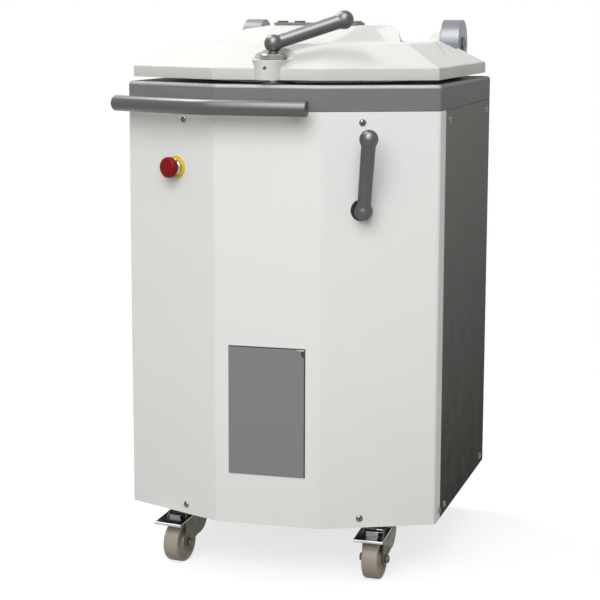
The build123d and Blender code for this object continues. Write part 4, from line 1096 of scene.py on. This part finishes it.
class DIVIDER_OT_stop(bpy.types.Operator):
    """Emergency stop: yellow disc, chrome collar and red mushroom head"""

    bl_idname = "divider.stop"
    bl_label = "Emergency stop"

    def execute(self, context):
        s = sizes(context)
        low, high = box_mm("stop_ring")
        seat = facet_frame(s, -1, -STOP_X, (low.z + high.z) / 2)
        ring = [(11, 0.1), (21.5, 0.1), (21.5, 1.5), (20.9, 2.0), (18.4, 2.0), (18.0, 1.7)]
        ring += [(17.6, 2.0), (11, 2.0)]
        collar = [(8.2, 2.0), (15, 2.0), (15, 3.2), (14.2, 3.6), (14.2, 4.4), (15, 4.8), (15, 8.6)]
        collar += [(13.9, 10), (8.2, 10)]
        head = [(0, 21.0), (8.1, 21.0), (8.1, 15.6), (15.0, 15.0), (18.2, 15.8), (19.7, 18.0), (20, 21.0)]
        head += [(20, 24.5), (19.4, 27.2), (17.8, 29.2), (15.6, 30.0), (13.8, 29.8), (13.1, 29.2)]
        head += [(12.4, 29.6), (9, 29.9), (0, 30.0)]
        for name, profile, loop, body, slot, node in (
            ("stop_disc", ring, True, "cabinet", "stop_yellow", "stop_ring"),
            ("stop_sleeve", collar, True, "cabinet", "bright_steel", "stop_collar"),
            ("stop_mushroom", head, False, "stop_head", "stop_red", "stop_button"),
        ):
            turned(name, profile, seat, 64, body, slot, node, loop=loop)
        return {"FINISHED"}


class DIVIDER_OT_screws(bpy.types.Operator):
    """Cross-slotted screws of the panels"""

    bl_idname = "divider.screws"
    bl_label = "Panel screws"

    def execute(self, context):
        s = sizes(context)
        dome = ((0, 0.50), (0.16, 0.50), (0.32, 0.48), (0.48, 0.45), (0.64, 0.39), (0.80, 0.29), (0.93, 0.15))
        slot_half, slot_reach, slot_depth = 0.10, 0.6, 0.22
        bm = bmesh.new()
        steps = 32
        rings = []
        for radius, height in (*dome, (1.0, 0.0), (1.0, -0.03), (0, -0.03)):
            ring = []
            for i in range(steps if radius else 1):
                a = 2 * pi * i / steps
                x, y = radius * cos(a), radius * sin(a)
                slot = min(abs(x), abs(y)) < slot_half and radius < slot_reach and height > 0
                ring.append(bm.verts.new((x, y, height - (slot_depth if slot else 0.0))))
            rings.append(ring)
        rows(bm, rings)
        close_up(bm)
        screws = fasteners(
            "panel_screw_heads", to_object(bm, "screw"), self.seats(s), s.screw_head,
            random_turn=pi / 2, seed=context.scene.divider_turns.screw_seed,
        )
        fit(screws, "cabinet", "bright_steel", "panel_screws", finish="screw_steel")
        return {"FINISHED"}

    def seats(self, s):
        """Seats of the screws: facets, wrapped edges, sides and back."""
        panel = box_mm("front_panel")[1]
        heads_low, heads_high = box_mm("panel_screws")
        bottom, top = heads_low.z + s.screw_head, heads_high.z - s.screw_head
        rear_y = box_mm("rear_panel")[1].y
        found = []
        for side in (-1, 1):
            out = Vector((side, 0.0, 0.0))
            for z in (bottom, top):
                place = facet_frame(s, side, side * FACET_SCREW_X, z)
                found.append((place.to_translation(), place.to_3x3() @ UP))
                for y in (SIDE_SCREW_Y, rear_y - REAR_INSET):
                    found.append((Vector((side * panel.x, y, z)), out))
                found.append((Vector((side * REAR_SCREW_X, rear_y, z)), Vector((0.0, 1.0, 0.0))))
            found.append((Vector((side * panel.x, panel.y - WRAP_INSET, bottom)), out))
        return found


class DIVIDER_OT_notice(bpy.types.Operator):
    """Plain plate low on the front, with one corner turned over"""

    bl_idname = "divider.notice"
    bl_label = "Plain plate"

    def execute(self, context):
        s = sizes(context)
        low, high = box_mm("notice_plate")
        corner = s.notice_corner
        place = Matrix(((1, 0, 0, 0), (0, 0, -1, high.y), (0, 1, 0, 0), (0, 0, 0, 1)))
        thick = high.y - low.y
        rim = 2.4
        inner, under = high.x - rim, high.z - rim
        backing = [(low.x, low.z), (high.x, low.z), (high.x, high.z), (low.x, high.z)]
        sheet = [(low.x, low.z), (inner, low.z), (inner, under - corner), (inner - corner, under)]
        sheet.append((low.x, under))
        strip = [(inner - corner + 2.6, under - 2.0), (inner, under - 2.0), (inner, under)]
        strip.append((inner - corner + 0.8, under))
        fold = [(inner - 6.0, under - 9.2), (inner - 6.0, under - 2.6), (inner - corner + 3.6, under - 2.6)]
        for name, outline, base, height, soft, finish in (
            ("plate_backing", backing, 0.0, 0.45, 0.1, "plate_edge"),
            ("plain_plate", sheet, 0.47, 1.0, 0.4, "notice_grey"),
            ("plate_strip", strip, 0.47, 0.75, 0.1, "press_white"),
            ("plate_fold", fold, 0.47, 0.75, 0.1, "plate_pale"),
        ):
            bm = bmesh.new()
            slab(bm, outline, thick * base, thick * height, place)
            close_up(bm)
            soften(bm, soft, 2, radians(20))
            mark_edges(bm, radians(50))
            piece = to_object(bm, name)
            even_shading(piece)
            nodes = ["notice_plate"] if name == "plain_plate" else []
            fit(piece, "cabinet", "notice_grey", *nodes, finish=finish)
        return {"FINISHED"}


# Hinges
class DIVIDER_OT_hinges(bpy.types.Operator):
    """Hinge knuckles at the back with their domed pin heads"""

    bl_idname = "divider.hinges"
    bl_label = "Hinges"

    def execute(self, context):
        softened(
            "hinge_blocks", "hinge_knuckles", KNUCKLE_EDGE, "cabinet", "dark_grey_paint",
            finish="knuckle_grey",
        )
        hinge = next(joint for joint in frame["joints"] if joint["name"] == "lid_hinge")
        _, y, z = Vector(hinge["pos_m"]) / MM
        outer = box_mm("hinge_knuckles")[1].x
        inner = box_mm("lid_hinge_arms")[1].x - sizes(context).arm_width
        pins_low, pins_high = box_mm("hinge_pins")
        r = (pins_high.z - pins_low.z) / 2
        rise = pins_high.x - outer
        back = inner - outer
        cap = [(0, back), (9.6, back), (10.0, back + 0.4), (10.0, 1.0), (r - 0.6, 1.0), (r, 1.8)]
        cap += [(r - 0.5, 3.2), (r * 0.86, 5.2), (r * 0.64, 7.2), (r * 0.36, 8.5), (0, rise)]
        bm = bmesh.new()
        for side in (-1, 1):
            lathe(bm, cap, axis_frame((side * outer, y, z), (side, 0.0, 0.0)), 56)
        dress(bm, "hinge_pin_caps", "cabinet", "bright_steel", "hinge_pins", finish="dark_pin")
        return {"FINISHED"}


# Casters
class DIVIDER_OT_casters(bpy.types.Operator):
    """Wheels, forks, plates and brake pedals"""

    bl_idname = "divider.casters"
    bl_label = "Casters"

    def execute(self, context):
        s = sizes(context)
        half = 16.0
        side = [(5.3, half), (9.0, half), (9.6, half - 0.5), (12.4, half - 0.5), (13, half - 1.2)]
        side += [(14.2, 11.6), (16, 11.0), (30, 11.0), (31.8, 11.6), (33.2, half - 1.0), (34.2, half)]
        side += [(36.4, half), (38.4, half - 0.9), (39.5, half - 2.6), (39.85, half - 5.2), (40.0, half - 9)]
        profile = side + [(radius, -height) for radius, height in reversed(side)]
        joints = {joint["name"]: joint for joint in frame["joints"]}
        for name in ("front_left", "front_right", "rear_left", "rear_right"):
            wheel, fork, pedal = f"wheel_{name}", f"fork_{name}", f"pedal_{name}"
            roll = joints[f"roll_{name}"]
            place = axis_frame(Vector(roll["pos_m"]) / MM, roll["axis"])
            turned(wheel, profile, place, 72, wheel, "wheel_grey", f"caster_{wheel}", loop=True)
            softened(fork, f"caster_{fork}", FORK_EDGE, fork, "zinc_plate")
            if name.startswith("front"):
                softened(pedal, f"brake_{pedal}", PEDAL_EDGE, pedal, "zinc_plate", finish="pedal_steel")
        softened("caster_seats", "caster_plates", s.edge, "cabinet", "zinc_plate")
        return {"FINISHED"}


# Panels and hidden pieces
class DIVIDER_OT_cabinet(bpy.types.Operator):
    """Finishes of the panels, the frame and the pieces inside"""

    bl_idname = "divider.cabinet"
    bl_label = "Cabinet"

    def execute(self, context):
        for piece in frame["nodes"].values():
            piece.data.materials[0] = finishes[piece.data.materials[0].name]
        # the top frame takes the finish with the painted edge highlight
        special = {"lock_keeper": "dark_pin", "top_frame": "frame_edge_highlight", "lid_hinge_arms": "lid_white"}
        for node, finish in special.items():
            frame["nodes"][node].data.materials[0] = finishes[finish]
        return {"FINISHED"}


# Studio, in metres, watts and degrees
FLOOR_HALF = 9.0
FLOOR_BOUNCE = (0.22, 0.195, 0.165, 1.0)    # floor as it lights the piece
FLOOR_PALE = (0.40, 0.40, 0.40, 1.0)        # and as it is seen, with its own glow
FLOOR_GLOW = 0.74
FLOOR_FADE = (0.8, 2.0)                     # distances between which it turns plain white
AMBIENT = 0.42
LAMPS = (                                   # place, target, size, power, and False for reflections only
    ("key", (0.475, -4.28, 3.24), (0.0, 0.0, 0.7), 3.6, 175.0, True),
    ("top", (-2.56, 1.28, 4.80), (0.0, 0.0, 0.7), 2.0, 174.0, True),
    ("shine", (0.30, -2.20, 4.40), (0.0, 0.0, 0.9), 3.0, 220.0, False),
)
CAMERA_PLACE = (0.9445, -3.4187, 1.0744)
CAMERA_TURNS = (15.8124, 9.2102, 0.1706)    # azimuth, pitch and roll
LENS_MM, SENSOR_MM, CLIP_END = 104.78, 36.0, 60.0


def aim(thing, target):
    """Points a lamp at a place."""
    thing.rotation_euler = (Vector(target) - thing.location).to_track_quat("-Z", "Y").to_euler()


class DIVIDER_OT_studio(bpy.types.Operator):
    """Floor, soft lights, white background and the camera"""

    bl_idname = "divider.studio"
    bl_label = "Studio"

    def execute(self, context):
        scene = context.scene
        scene.view_settings.view_transform = "Standard"
        self.floor(scene)
        self.background(scene)
        self.lights(scene)
        self.camera(scene)
        return {"FINISHED"}

    def seen(self, nodes):
        """1 for rays from the camera and for reflected or transmitted ones."""
        sockets = ("Is Camera Ray", "Is Glossy Ray", "Is Transmission Ray")
        first, second, third = (nodes.node("ShaderNodeLightPath", output=name) for name in sockets)
        return first.maths("MAXIMUM", first.maths("MAXIMUM", first, second), third)

    def floor(self, scene):
        mesh = bpy.data.meshes.new("floor")
        corners = [(x * FLOOR_HALF, y * FLOOR_HALF, 0.0) for x, y in ((-1, -1), (1, -1), (1, 1), (-1, 1))]
        mesh.from_pydata(corners, [], [(0, 1, 2, 3)])
        floor = bpy.data.objects.new("floor", mesh)
        scene.collection.objects.link(floor)
        finish = Finish("studio_floor")
        bounce = finish.node("ShaderNodeBsdfDiffuse", None, {"Color": FLOOR_BOUNCE})
        pale = finish.node("ShaderNodeBsdfDiffuse", None, {"Color": FLOOR_PALE})
        glow = finish.node("ShaderNodeEmission", None, {"Color": WHITE, "Strength": FLOOR_GLOW})
        near = finish.node("ShaderNodeAddShader", None, {0: pale, 1: glow})
        far = finish.node("ShaderNodeEmission", None, {"Color": WHITE, "Strength": 1.0})
        away = finish.node("ShaderNodeVectorMath", {"operation": "LENGTH"}, {0: finish.place}, "Value")
        fade = finish.ramp(away, *FLOOR_FADE)
        shown = finish.node("ShaderNodeMixShader", None, {0: fade, 1: near, 2: far})
        both = finish.node("ShaderNodeMixShader", None, {0: self.seen(finish), 1: bounce, 2: shown})
        finish.feed(finish.tree.nodes["Material Output"].inputs["Surface"], both)
        mesh.materials.append(finish.material)

    def background(self, scene):
        world = bpy.data.worlds.new("studio")
        world.use_nodes = True
        scene.world = world
        world.node_tree.nodes.clear()
        nodes = Nodes(world.node_tree)
        ambient = nodes.node("ShaderNodeBackground", None, {"Color": WHITE, "Strength": AMBIENT})
        white = nodes.node("ShaderNodeBackground", None, {"Color": WHITE, "Strength": 1.0})
        both = nodes.node("ShaderNodeMixShader", None, {0: self.seen(nodes), 1: ambient, 2: white})
        nodes.feed(nodes.tree.nodes.new("ShaderNodeOutputWorld").inputs["Surface"], both)

    def lights(self, scene):
        for name, place, target, width, power, lights_paint in LAMPS:
            data = bpy.data.lights.new(name, "AREA")
            data.shape = "SQUARE"
            data.size = width
            data.energy = power
            lamp = bpy.data.objects.new(name, data)
            lamp.location = place
            lamp.visible_diffuse = lights_paint
            aim(lamp, target)
            scene.collection.objects.link(lamp)

    def camera(self, scene):
        data = bpy.data.cameras.new("photo_camera")
        data.sensor_width = SENSOR_MM
        data.lens = LENS_MM
        data.clip_end = CLIP_END
        azimuth, pitch, roll = (radians(angle) for angle in CAMERA_TURNS)
        back = Vector((sin(azimuth) * cos(pitch), -cos(azimuth) * cos(pitch), sin(pitch)))
        right = Vector((cos(azimuth), sin(azimuth), 0.0))
        up = back.cross(right)
        level = right * cos(roll) + up * sin(roll)
        upright = up * cos(roll) - right * sin(roll)
        turn_to = Matrix((level, upright, back)).transposed().to_4x4()
        camera = bpy.data.objects.new("photo_camera", data)
        camera.matrix_world = Matrix.Translation(CAMERA_PLACE) @ turn_to
        scene.collection.objects.link(camera)
        scene.camera = camera


class DIVIDER_PT_panel(bpy.types.Panel):
    """Builders, sizes and colours of the dough divider"""

    bl_idname = "DIVIDER_PT_panel"
    bl_label = "Dough divider"
    bl_space_type = "VIEW_3D"
    bl_region_type = "UI"
    bl_category = "Divider"

    def draw(self, context):
        layout = self.layout
        for operator in OPERATORS:
            layout.operator(operator.bl_idname)
        for name in GROUPS:
            group = getattr(context.scene, name)
            for key in keys_of(group):
                layout.prop(group, key)


OPERATORS = (
    DIVIDER_OT_cabinet, DIVIDER_OT_lid, DIVIDER_OT_lid_plate, DIVIDER_OT_lock, DIVIDER_OT_levers,
    DIVIDER_OT_bar, DIVIDER_OT_stop, DIVIDER_OT_screws, DIVIDER_OT_notice, DIVIDER_OT_hinges,
    DIVIDER_OT_casters, DIVIDER_OT_studio,
)
GROUPS = {"divider_sizes": DividerSizes, "divider_turns": DividerTurns, "divider_colours": DividerColours}
CLASSES = (*GROUPS.values(), *OPERATORS, DIVIDER_PT_panel)


def register():
    for kind in CLASSES:
        bpy.utils.register_class(kind)
    for name, group in GROUPS.items():
        setattr(bpy.types.Scene, name, PointerProperty(type=group))


def unregister():
    for name in GROUPS:
        delattr(bpy.types.Scene, name)
    for kind in reversed(CLASSES):
        bpy.utils.unregister_class(kind)


def main():
    register()
    finishes.update(make_finishes(bpy.context.scene.divider_colours))
    for operator in OPERATORS:
        group, name = operator.bl_idname.split(".")
        getattr(getattr(bpy.ops, group), name)()


if __name__ == "__main__":
    main()
